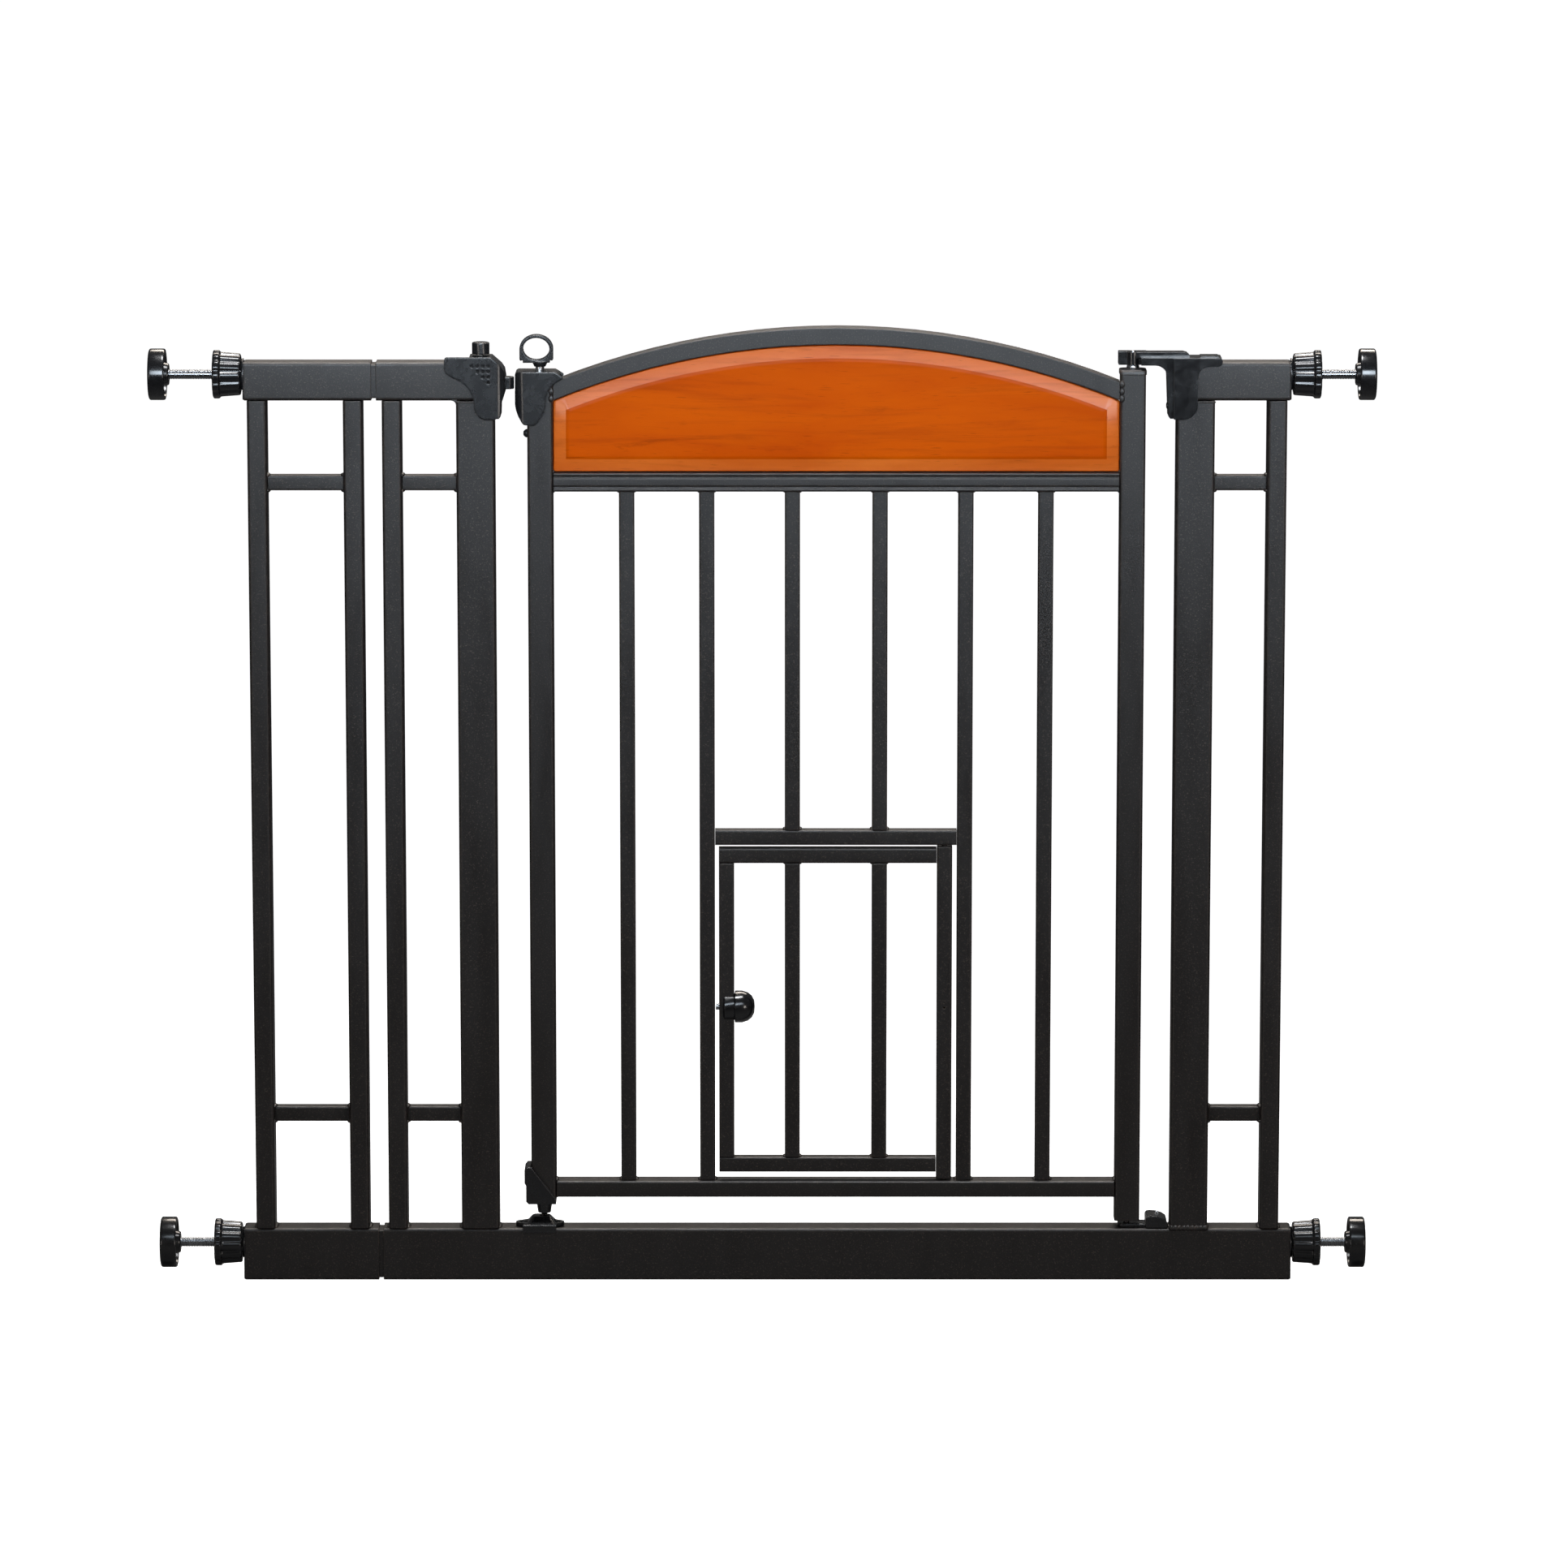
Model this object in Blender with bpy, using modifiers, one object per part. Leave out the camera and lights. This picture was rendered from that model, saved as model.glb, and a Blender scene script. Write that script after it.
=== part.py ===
"""Pressure-mounted pet gate: a tubular steel frame with an arched swing gate, a small pet door in the gate,
a push-button latch, a pull-ring foot pin and four screw-out wall pads. Metres, +Z up, width along X."""

import math

import bmesh
import bpy

# Whole gate
PAD_FACE_X = 0.480
TUBE_WALL = 0.0015
FIT_GAP = 0.0003

# Fixed frame
DEPTH = 0.025
HALF_DEPTH = DEPTH / 2
BASE_HEIGHT = 0.042
BASE_LEFT = -0.302
BASE_RIGHT = 0.4195
TOP_RAIL_LOW = 0.705
TOP_RAIL_HEIGHT = 0.030
TOP_RAIL_TOP = TOP_RAIL_LOW + TOP_RAIL_HEIGHT
TOP_RAIL_MID = TOP_RAIL_LOW + TOP_RAIL_HEIGHT / 2
LEFT_RAIL_START = -0.302
LEFT_RAIL_END = -0.2095
RIGHT_RAIL_START = 0.324
RIGHT_RAIL_END = 0.4125
WIDE_POST = 0.030
THIN_POST = 0.0152
LATCH_POST_X = -0.2245
HINGE_POST_X = 0.339
LEFT_POST_X = -0.2900
RIGHT_POST_X = 0.4030
RUNG = 0.012
UPPER_RUNG_Z = 0.6395
LOWER_RUNG_Z = 0.134

# Side extension
EXT_BASE_LEFT = -0.412
EXT_TOP_LEFT = -0.405
EXT_RIGHT = -0.3058
EXT_OUTER_POST_X = -0.3955
EXT_INNER_POST_X = -0.3204
SPIGOT_LENGTH = 0.028

# Swing gate
GATE_X = 0.058
STILE = 0.020
LATCH_STILE_X = -0.174
HINGE_STILE_X = 0.290
LATCH_STILE_LOW = 0.066
LATCH_STILE_TOP = 0.724
HINGE_STILE_LOW = 0.0478
HINGE_STILE_TOP = 0.7285
STILE_PLUG = 0.012
GATE_BOTTOM_LOW = 0.067
GATE_BOTTOM_HEIGHT = 0.013
ARCH_TOP = 0.762
ARCH_RADIUS = 0.597
ARCH_HEIGHT = 0.013
PANEL_LOW = 0.649
PANEL_GAP = 0.0012
PANEL_SIDE_GAP = 0.0025
PANEL_CORE = 0.008
PANEL_RAISE = 0.0035
PANEL_MARGIN = 0.012
PANEL_RAIL_LOW = 0.6330
PANEL_RAIL_HEIGHT = 0.0152
BAR = 0.012
BAR_WALL = 0.0012
INNER_BAR = 0.0344
MIDDLE_BAR = 0.1017
OUTER_BAR = 0.1645
CROSS_RAIL_LOW = 0.351

# Pet door
DOOR_HINGE_X = 0.144
DOOR_LATCH_X = -0.0285
DOOR_TOP_LOW = 0.3365
DOOR_BOTTOM_LOW = 0.0867
DOOR_STILE_LOW = 0.0815
DOOR_STILE_TOP = 0.3495
DOOR_PIVOT_RADIUS = 0.0022
DOOR_PIVOT_LENGTH = 0.0045
KNOB_RADIUS = 0.0128
KNOB_Z = 0.220
KNOB_LEFT = -0.0312
KNOB_RIGHT = -0.0062
DOOR_BOLT_RADIUS = 0.0026
DOOR_BOLT_TIP = -0.0371

# Latch
HOUSING_DEPTH = 0.0158
HOUSING_TOP = 0.7394
BUTTON_X = -0.2202
BUTTON_RADIUS = 0.00685
BUTTON_TOP = 0.7499
BUTTON_LOW = 0.7406
BOLT_Z = 0.718
BOLT_HEIGHT = 0.0095
BOLT_DEPTH = 0.010
BOLT_TIP = -0.1943
BOLT_LENGTH = 0.034
STRIKE_DEPTH = 0.0135
STRIKE_TOP = 0.7276

# Foot pin
LIFT_ROD_RADIUS = 0.0034
LIFT_ROD_LOW = 0.0515
LIFT_ROD_TOP = 0.7346
RING_X = -0.1767
RING_Z = 0.7447
RING_HALF_WIDTH = 0.01315
RING_RISE = 0.0111
RING_HOLE_HALF_WIDTH = 0.0103
RING_HOLE_RISE = 0.0087
RING_DEPTH = 0.0090

# Hinge
HINGE_PIN_RADIUS = 0.0025
BRACKET_FRONT = -0.0153

# Screw-out mounts
ROD_RADIUS = 0.004
ROD_LENGTH = 0.125
TOP_ROD_Z = 0.7245
BASE_ROD_Z = 0.0285
PAD_RADIUS = 0.0202
NUT_RADIUS = 0.0185
NUT_LENGTH = 0.0215
NUT_LOBES = 12


def clear_scene():
    for obj in list(bpy.data.objects):
        bpy.data.objects.remove(obj)


def new_collection(name):
    collection = bpy.data.collections.new(name)
    bpy.context.scene.collection.children.link(collection)
    return collection


def material(name, color, metallic, roughness):
    made = bpy.data.materials.new(name)
    made.use_nodes = True
    shader = made.node_tree.nodes["Principled BSDF"]
    shader.inputs["Base Color"].default_value = (*color, 1.0)
    shader.inputs["Metallic"].default_value = metallic
    shader.inputs["Roughness"].default_value = roughness
    return made


def finish(obj, mat):
    """Each piece gets its own copy of its material, named after the piece."""
    own = mat.copy()
    own.name = obj.name
    obj.data.materials.clear()
    obj.data.materials.append(own)
    return obj


def as_cutter(obj):
    gate.objects.unlink(obj)
    cutters.objects.link(obj)
    obj.hide_render = True
    obj.display_type = "WIRE"
    return obj


def arc(cx, cy, radius, start, end, steps):
    """Points on an arc, with start and end in degrees."""
    points = []
    for i in range(steps + 1):
        turn = math.radians(start + (end - start) * i / steps)
        points.append((cx + radius * math.cos(turn), cy + radius * math.sin(turn)))
    return points


def rounded_rect(width, height, radius, steps=2):
    x = width / 2 - radius
    y = height / 2 - radius
    points = []
    for cx, cy, start in ((x, y, 0), (-x, y, 90), (-x, -y, 180), (x, -y, 270)):
        points += arc(cx, cy, radius, start, start + 90, steps)
    return points


def rect(low_x, low_y, high_x, high_y):
    return [(low_x, low_y), (high_x, low_y), (high_x, high_y), (low_x, high_y)]


def outline(name, loops, thickness):
    """A flat outline with holes, given thickness along its own Z."""
    curve = bpy.data.curves.new(name, "CURVE")
    curve.dimensions = "2D"
    curve.fill_mode = "BOTH"
    curve.extrude = thickness / 2
    for loop in loops:
        spline = curve.splines.new("POLY")
        spline.points.add(len(loop) - 1)
        for point, (x, y) in zip(spline.points, loop):
            point.co = (x, y, 0, 1)
        spline.use_cyclic_u = True
    obj = bpy.data.objects.new(name, curve)
    gate.objects.link(obj)
    return obj


def to_mesh(obj):
    """The same shape as a mesh, which Booleans need."""
    bpy.context.view_layer.update()
    graph = bpy.context.evaluated_depsgraph_get()
    mesh = bpy.data.meshes.new_from_object(obj.evaluated_get(graph))
    shape = bmesh.new()
    shape.from_mesh(mesh)
    bmesh.ops.remove_doubles(shape, verts=shape.verts, dist=0.000005)
    bmesh.ops.recalc_face_normals(shape, faces=shape.faces)
    shape.to_mesh(mesh)
    shape.free()
    solid = bpy.data.objects.new(obj.name + "_solid", mesh)
    solid.matrix_world = obj.matrix_world.copy()
    gate.objects.link(solid)
    name = obj.name
    bpy.data.objects.remove(obj)
    solid.name = name
    return solid


def front_plate(name, loops, near_y, far_y):
    """An outline in X and Z, running in Y from near_y to far_y."""
    obj = outline(name, loops, far_y - near_y)
    obj.rotation_euler = (math.pi / 2, 0, 0)
    obj.location = (0, (near_y + far_y) / 2, 0)
    return to_mesh(obj)


def flat_plate(name, loops, low_z, high_z):
    """An outline in X and Y, running in Z from low_z to high_z."""
    obj = outline(name, loops, high_z - low_z)
    obj.location = (0, 0, (low_z + high_z) / 2)
    return to_mesh(obj)


def tube_loops(across, depth, wall, radius):
    return [
        rounded_rect(across, depth, radius, 3),
        rounded_rect(across - 2 * wall, depth - 2 * wall, max(radius - wall, 0.0004), 1),
    ]


def rail(name, start, end, mid_z, height, depth=DEPTH, wall=TUBE_WALL, radius=0.0025):
    """A square-cut tube that lies along X."""
    obj = outline(name, tube_loops(height, depth, wall, radius), end - start)
    obj.rotation_euler = (0, math.pi / 2, 0)
    obj.location = ((start + end) / 2, 0, mid_z)
    return obj


def post(name, x, low, high, width, depth=DEPTH, wall=TUBE_WALL, radius=0.0025):
    """A square-cut tube that stands along Z."""
    obj = outline(name, tube_loops(width, depth, wall, radius), high - low)
    obj.location = (x, 0, (low + high) / 2)
    return obj


def box(name, low, high):
    mesh = bpy.data.meshes.new(name)
    shape = bmesh.new()
    bmesh.ops.create_cube(shape, size=1)
    for vert in shape.verts:
        for axis in range(3):
            vert.co[axis] = low[axis] if vert.co[axis] < 0 else high[axis]
    shape.to_mesh(mesh)
    shape.free()
    obj = bpy.data.objects.new(name, mesh)
    gate.objects.link(obj)
    return obj


def cylinder(name, centre, radius, length, axis, segments=24, end_radius=None):
    """A cylinder or a cone along +X, +Y or +Z, centred on centre."""
    mesh = bpy.data.meshes.new(name)
    shape = bmesh.new()
    bmesh.ops.create_cone(
        shape,
        cap_ends=True,
        segments=segments,
        radius1=radius,
        radius2=radius if end_radius is None else end_radius,
        depth=length,
    )
    shape.to_mesh(mesh)
    shape.free()
    obj = bpy.data.objects.new(name, mesh)
    obj.location = centre
    if axis == "X":
        obj.rotation_euler = (0, math.pi / 2, 0)
    if axis == "Y":
        obj.rotation_euler = (-math.pi / 2, 0, 0)
    gate.objects.link(obj)
    return obj


def turned(name, profile, steps, location, direction):
    """A shape turned about its own Z. The profile lists (radius, height) from its top down its outer side."""
    mesh = bpy.data.meshes.new(name)
    verts = [(radius, 0, height) for radius, height in profile]
    mesh.from_pydata(verts, [(i, i + 1) for i in range(len(verts) - 1)], [])
    obj = bpy.data.objects.new(name, mesh)
    gate.objects.link(obj)
    screw = obj.modifiers.new("turn", "SCREW")
    screw.axis = "Z"
    screw.steps = steps
    screw.render_steps = steps
    screw.use_merge_vertices = True
    screw.merge_threshold = 0.00001
    screw.use_smooth_shade = False
    obj.location = location
    obj.rotation_euler = direction
    return obj


def boolean(target, tool, operation):
    modifier = target.modifiers.new(operation.lower(), "BOOLEAN")
    modifier.operation = operation
    modifier.solver = "EXACT"
    modifier.object = as_cutter(tool)
    return target


def cut(target, *tools):
    for tool in tools:
        boolean(target, tool, "DIFFERENCE")
    return target


def join(target, *tools):
    for tool in tools:
        boolean(target, tool, "UNION")
    return target


def make_frame():
    base_mid = BASE_HEIGHT / 2
    finish(rail("base_rail", BASE_LEFT, BASE_RIGHT, base_mid, BASE_HEIGHT), powder)
    finish(rail("left_top_rail", LEFT_RAIL_START, LEFT_RAIL_END, TOP_RAIL_MID, TOP_RAIL_HEIGHT), powder)
    finish(rail("right_top_rail", RIGHT_RAIL_START, RIGHT_RAIL_END, TOP_RAIL_MID, TOP_RAIL_HEIGHT), powder)
    posts = (
        ("latch_post", LATCH_POST_X, WIDE_POST),
        ("hinge_post", HINGE_POST_X, WIDE_POST),
        ("left_post", LEFT_POST_X, THIN_POST),
        ("right_post", RIGHT_POST_X, THIN_POST),
    )
    for name, x, width in posts:
        finish(post(name, x, BASE_HEIGHT + FIT_GAP, TOP_RAIL_LOW - FIT_GAP, width), powder)
    spans = (
        ("left", LEFT_POST_X + THIN_POST / 2, LATCH_POST_X - WIDE_POST / 2),
        ("right", HINGE_POST_X + WIDE_POST / 2, RIGHT_POST_X - THIN_POST / 2),
    )
    for side, start, end in spans:
        make_rungs(side, start, end)


def make_rungs(side, start, end):
    """The two short bars that brace a pair of posts."""
    for level, z in (("upper", UPPER_RUNG_Z), ("lower", LOWER_RUNG_Z)):
        name = f"{side}_rung_{level}"
        finish(rail(name, start + FIT_GAP, end - FIT_GAP, z, RUNG, RUNG, BAR_WALL, 0.0015), powder)


def make_extension_rail(name, start, mid_z, height):
    """An extension rail with the spigot that slides into the frame's rail."""
    tube = to_mesh(rail(name, start, EXT_RIGHT, mid_z, height))
    inner = height - 2 * TUBE_WALL - 2 * FIT_GAP
    deep = DEPTH - 2 * TUBE_WALL - 2 * FIT_GAP
    spigot = to_mesh(
        rail(name + "_spigot", EXT_RIGHT - 0.012, EXT_RIGHT + SPIGOT_LENGTH, mid_z, inner, deep, TUBE_WALL, 0.0010)
    )
    block = box(
        name + "_joint",
        (EXT_RIGHT - 0.010, -DEPTH / 2 + TUBE_WALL / 2, mid_z - height / 2 + TUBE_WALL / 2),
        (EXT_RIGHT - 0.004, DEPTH / 2 - TUBE_WALL / 2, mid_z + height / 2 - TUBE_WALL / 2),
    )
    bore = cylinder(name + "_joint_bore", (EXT_RIGHT - 0.007, 0, mid_z), 0.008, 0.02, "X")
    finish(cut(join(tube, spigot, block), bore), powder)


def make_extension():
    make_extension_rail("extension_base_rail", EXT_BASE_LEFT, BASE_HEIGHT / 2, BASE_HEIGHT)
    make_extension_rail("extension_top_rail", EXT_TOP_LEFT, TOP_RAIL_MID, TOP_RAIL_HEIGHT)
    for name, x in (("extension_outer_post", EXT_OUTER_POST_X), ("extension_inner_post", EXT_INNER_POST_X)):
        finish(post(name, x, BASE_HEIGHT + FIT_GAP, TOP_RAIL_LOW - FIT_GAP, THIN_POST), powder)
    make_rungs("extension", EXT_OUTER_POST_X + THIN_POST / 2, EXT_INNER_POST_X - THIN_POST / 2)


def make_stiles():
    length = LATCH_STILE_TOP - LATCH_STILE_LOW
    finish(post("latch_stile", LATCH_STILE_X, LATCH_STILE_LOW, LATCH_STILE_LOW + length, STILE, STILE), powder)
    stile = to_mesh(post("hinge_stile", HINGE_STILE_X, HINGE_STILE_LOW, HINGE_STILE_TOP, STILE, STILE))
    half = STILE / 2 - TUBE_WALL / 2
    for end, low in (("low", HINGE_STILE_LOW), ("top", HINGE_STILE_TOP - STILE_PLUG)):
        plug = box(
            "hinge_stile_plug_" + end,
            (HINGE_STILE_X - half, -half, low + 0.0002),
            (HINGE_STILE_X + half, half, low + STILE_PLUG - 0.0002),
        )
        bore = cylinder(
            "hinge_stile_bore_" + end,
            (HINGE_STILE_X, 0, low + STILE_PLUG / 2),
            HINGE_PIN_RADIUS + 0.0004,
            0.03,
            "Z",
            16,
        )
        cut(join(stile, plug), bore)
    finish(stile, powder)


def arch_band(name, outer, inner, start_x, end_x, near_y, far_y):
    """A band between two arcs about the arch's centre, cut off upright at each end."""
    centre_z = ARCH_TOP - ARCH_RADIUS
    loops = []
    for radius in (outer, inner):
        first = math.degrees(math.acos((start_x - GATE_X) / radius))
        last = math.degrees(math.acos((end_x - GATE_X) / radius))
        loops.append(arc(GATE_X, centre_z, radius, first, last, 22))
    return front_plate(name, [loops[0] + loops[1][::-1]], near_y, far_y)


def make_arch():
    start = LATCH_STILE_X + STILE / 2 + FIT_GAP
    end = HINGE_STILE_X - STILE / 2 - FIT_GAP
    half = STILE / 2
    band = arch_band("arch_rail", ARCH_RADIUS, ARCH_RADIUS - ARCH_HEIGHT, start, end, -half, half)
    bevel = band.modifiers.new("corners", "BEVEL")
    bevel.width = 0.0018
    bevel.segments = 2
    bevel.limit_method = "ANGLE"
    bevel.angle_limit = math.radians(60)
    hollow = arch_band(
        "arch_hollow",
        ARCH_RADIUS - TUBE_WALL,
        ARCH_RADIUS - ARCH_HEIGHT + TUBE_WALL,
        start - 0.01,
        end + 0.01,
        TUBE_WALL - half,
        half - TUBE_WALL,
    )
    finish(cut(band, hollow), powder)


def make_wood_panel():
    """A board with raised fields on both faces and an arched top edge."""
    start = LATCH_STILE_X + STILE / 2 + PANEL_SIDE_GAP
    end = HINGE_STILE_X - STILE / 2 - PANEL_SIDE_GAP
    radius = ARCH_RADIUS - ARCH_HEIGHT - PANEL_GAP
    centre_z = ARCH_TOP - ARCH_RADIUS
    first = math.degrees(math.acos((end - GATE_X) / radius))
    last = math.degrees(math.acos((start - GATE_X) / radius))
    edge = arc(GATE_X, centre_z, radius, first, last, 24) + [(start, PANEL_LOW), (end, PANEL_LOW)]
    board = front_plate("wood_panel", [edge], -PANEL_CORE / 2, PANEL_CORE / 2)
    shape = bmesh.new()
    shape.from_mesh(board.data)
    for side in (-1, 1):
        flat = [f for f in shape.faces if f.normal.z * side > 0.99]
        bmesh.ops.inset_region(
            shape, faces=flat, thickness=PANEL_MARGIN, depth=PANEL_RAISE, use_even_offset=True
        )
    shape.to_mesh(board.data)
    shape.free()
    finish(board, wood)


def make_panel_rail():
    """The grooved rail that the board stands on."""
    half = PANEL_RAIL_HEIGHT / 2
    deep = STILE / 2
    groove = 0.0008
    front = [(-half + 0.0008, -deep), (-0.0052, -deep), (-0.0046, groove - deep), (-0.0034, groove - deep)]
    front += [(-0.0028, -deep), (0.0028, -deep), (0.0034, groove - deep), (0.0046, groove - deep)]
    front += [(0.0052, -deep), (half - 0.0008, -deep), (half, 0.0008 - deep)]
    loop = front + [(-x, -y) for x, y in front]
    inner = rounded_rect(PANEL_RAIL_HEIGHT - 0.0042, STILE - 0.0060, 0.0005, 1)
    start = LATCH_STILE_X + STILE / 2 + FIT_GAP
    end = HINGE_STILE_X - STILE / 2 - FIT_GAP
    obj = outline("panel_rail", [loop, inner], end - start)
    obj.rotation_euler = (0, math.pi / 2, 0)
    obj.location = ((start + end) / 2, 0, PANEL_RAIL_LOW + half)
    finish(obj, powder)


def make_gate_rails():
    start = LATCH_STILE_X + STILE / 2 + FIT_GAP
    end = HINGE_STILE_X - STILE / 2 - FIT_GAP
    mid = GATE_BOTTOM_LOW + GATE_BOTTOM_HEIGHT / 2
    bottom = to_mesh(rail("gate_bottom_rail", start, end, mid, GATE_BOTTOM_HEIGHT, STILE, BAR_WALL, 0.0018))
    hole_z = GATE_BOTTOM_LOW + GATE_BOTTOM_HEIGHT
    finish(cut(bottom, pivot_hole("gate_bottom_pivot_hole", hole_z)), powder)
    left = GATE_X - MIDDLE_BAR + BAR / 2 + FIT_GAP
    right = GATE_X + MIDDLE_BAR - BAR / 2 - FIT_GAP
    cross = to_mesh(rail("cross_rail", left, right, CROSS_RAIL_LOW + BAR / 2, BAR, BAR, BAR_WALL, 0.0015))
    finish(cut(cross, pivot_hole("cross_rail_pivot_hole", CROSS_RAIL_LOW)), powder)


def pivot_hole(name, z):
    return cylinder(name, (DOOR_HINGE_X, 0, z), DOOR_PIVOT_RADIUS + 0.0004, 0.006, "Z", 16)


def make_gate_bars():
    low = GATE_BOTTOM_LOW + GATE_BOTTOM_HEIGHT + FIT_GAP
    high = PANEL_RAIL_LOW - FIT_GAP
    for side, sign in (("left", -1), ("right", 1)):
        finish(post(f"bar_outer_{side}", GATE_X + sign * OUTER_BAR, low, high, BAR, BAR, BAR_WALL, 0.0015), powder)
        finish(post(f"bar_middle_{side}", GATE_X + sign * MIDDLE_BAR, low, high, BAR, BAR, BAR_WALL, 0.0015), powder)
        short_low = CROSS_RAIL_LOW + BAR + FIT_GAP
        finish(post(f"bar_inner_{side}", GATE_X + sign * INNER_BAR, short_low, high, BAR, BAR, BAR_WALL, 0.0015), powder)


def make_door_stiles():
    hinge = to_mesh(post("door_hinge_stile", DOOR_HINGE_X, DOOR_STILE_LOW, DOOR_STILE_TOP, BAR, BAR, BAR_WALL, 0.0015))
    half = BAR / 2 - BAR_WALL / 2
    for end, z, out in (("low", DOOR_STILE_LOW, -1), ("top", DOOR_STILE_TOP, 1)):
        inside = z - out * 0.006
        near = z - out * 0.0002
        plug = box(
            "door_plug_" + end,
            (DOOR_HINGE_X - half, -half, min(inside, near)),
            (DOOR_HINGE_X + half, half, max(inside, near)),
        )
        pin = cylinder(
            "door_pivot_" + end,
            (DOOR_HINGE_X, 0, z + out * (DOOR_PIVOT_LENGTH - 0.004) / 2),
            DOOR_PIVOT_RADIUS,
            DOOR_PIVOT_LENGTH + 0.004,
            "Z",
            16,
        )
        join(hinge, plug, pin)
    vent = cylinder("door_hinge_stile_vent", (DOOR_HINGE_X, 0, KNOB_Z), 0.0008, 0.02, "Y", 8)
    finish(cut(hinge, vent), powder)
    low = DOOR_BOTTOM_LOW + BAR + FIT_GAP
    high = DOOR_TOP_LOW - FIT_GAP
    latch = to_mesh(post("door_latch_stile", DOOR_LATCH_X, low, high, BAR, BAR, BAR_WALL, 0.0015))
    hole = cylinder("door_bolt_hole", (DOOR_LATCH_X, 0, KNOB_Z), DOOR_BOLT_RADIUS + 0.0004, 0.03, "X", 16)
    finish(cut(latch, hole), powder)


def make_door_rails():
    left = DOOR_LATCH_X - BAR / 2
    right = DOOR_HINGE_X - BAR / 2 - FIT_GAP
    for name, low in (("door_top_rail", DOOR_TOP_LOW), ("door_bottom_rail", DOOR_BOTTOM_LOW)):
        finish(rail(name, left, right, low + BAR / 2, BAR, BAR, BAR_WALL, 0.0015), powder)
    low = DOOR_BOTTOM_LOW + BAR + FIT_GAP
    high = DOOR_TOP_LOW - FIT_GAP
    for side, sign in (("left", -1), ("right", 1)):
        finish(post(f"door_bar_{side}", GATE_X + sign * INNER_BAR, low, high, BAR, BAR, BAR_WALL, 0.0015), powder)


def make_door_latch():
    """A sliding bolt with a knob that straddles the door's free stile."""
    length = KNOB_RIGHT - KNOB_LEFT
    profile = [
        (0, length),
        (0.0050, length - 0.0004),
        (0.0088, length - 0.0024),
        (0.0113, length - 0.0054),
        (KNOB_RADIUS, length - 0.0100),
        (KNOB_RADIUS, 0.0096),
        (KNOB_RADIUS - 0.0018, 0.0086),
        (KNOB_RADIUS - 0.0018, 0.0012),
        (KNOB_RADIUS - 0.0030, 0),
        (0, 0),
    ]
    knob = turned("door_knob", profile, 20, (KNOB_LEFT, 0, KNOB_Z), (0, math.pi / 2, 0))
    slot = box("door_knob_slot", (KNOB_LEFT - 0.01, -0.0064, KNOB_Z - 0.02), (DOOR_LATCH_X + 0.0064, 0.0064, KNOB_Z + 0.02))
    socket = cylinder("door_knob_socket", (DOOR_LATCH_X + 0.0089, 0, KNOB_Z), DOOR_BOLT_RADIUS + 0.0003, 0.008, "X", 16)
    finish(cut(knob, slot, socket), gloss)
    tip = DOOR_BOLT_TIP
    end = DOOR_LATCH_X + 0.0120
    finish(cylinder("door_bolt", ((tip + end) / 2, 0, KNOB_Z), DOOR_BOLT_RADIUS, end - tip, "X", 20), zinc)


def latch_outline():
    """The front shield of the latch, seen from the front: a square top that sweeps in to a narrow foot."""
    points = [(-0.2467, HOUSING_TOP), (-0.2479, 0.7386), (-0.2485, 0.7366), (-0.2485, 0.7305)]
    points += [(-0.2479, 0.7283), (-0.2466, 0.7266), (-0.2444, 0.7249), (-0.2415, 0.7235), (-0.2385, 0.7222)]
    points += [(-0.2349, 0.7201), (-0.2313, 0.7171), (-0.2284, 0.7135), (-0.2264, 0.7093), (-0.2254, 0.7048)]
    points += [(-0.2249, 0.7000), (-0.2236, 0.6954), (-0.2209, 0.6920), (-0.2171, 0.6904)]
    points += [(-0.2092, 0.6904), (-0.2060, 0.6918), (-0.2045, 0.6950), (-0.2040, 0.7320), (-0.2060, 0.7344)]
    return points + [(-0.2105, 0.7383), (-0.2130, HOUSING_TOP)]


def latch_core_outline():
    """The deep part of the latch round the bolt and the button, behind the shield."""
    points = [(-0.2290, 0.7388), (-0.2290, 0.7155), (-0.2262, 0.7080), (-0.2250, 0.7030), (-0.2245, 0.6990)]
    points += [(-0.2215, 0.6938), (-0.2171, 0.6910), (-0.2060, 0.6910), (-0.2046, 0.6925), (-0.2043, 0.7030)]
    points += [(-0.2028, 0.7056), (-0.2011, 0.7110), (-0.2008, 0.7225), (-0.2018, 0.7285), (-0.2043, 0.7322)]
    return points + [(-0.2118, 0.7388)]


def round_corner_tool(name, corner_x, corner_y, away_x, reach):
    """What a cut takes off an upright front corner to round it: away_x is -1 for a left corner, 1 for a right one."""
    centre_x = corner_x - away_x * reach
    centre_y = corner_y + reach
    first = 180 if away_x < 0 else 270
    loop = arc(centre_x, centre_y, reach, first, first + 90, 6)
    loop.append((corner_x + away_x * 0.02, centre_y) if away_x > 0 else (centre_x, corner_y - 0.02))
    loop.append((corner_x + away_x * 0.02, corner_y - 0.02))
    loop.append((centre_x, corner_y - 0.02) if away_x > 0 else (corner_x + away_x * 0.02, centre_y))
    return flat_plate(name, [loop], 0.66, 0.76)


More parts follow.
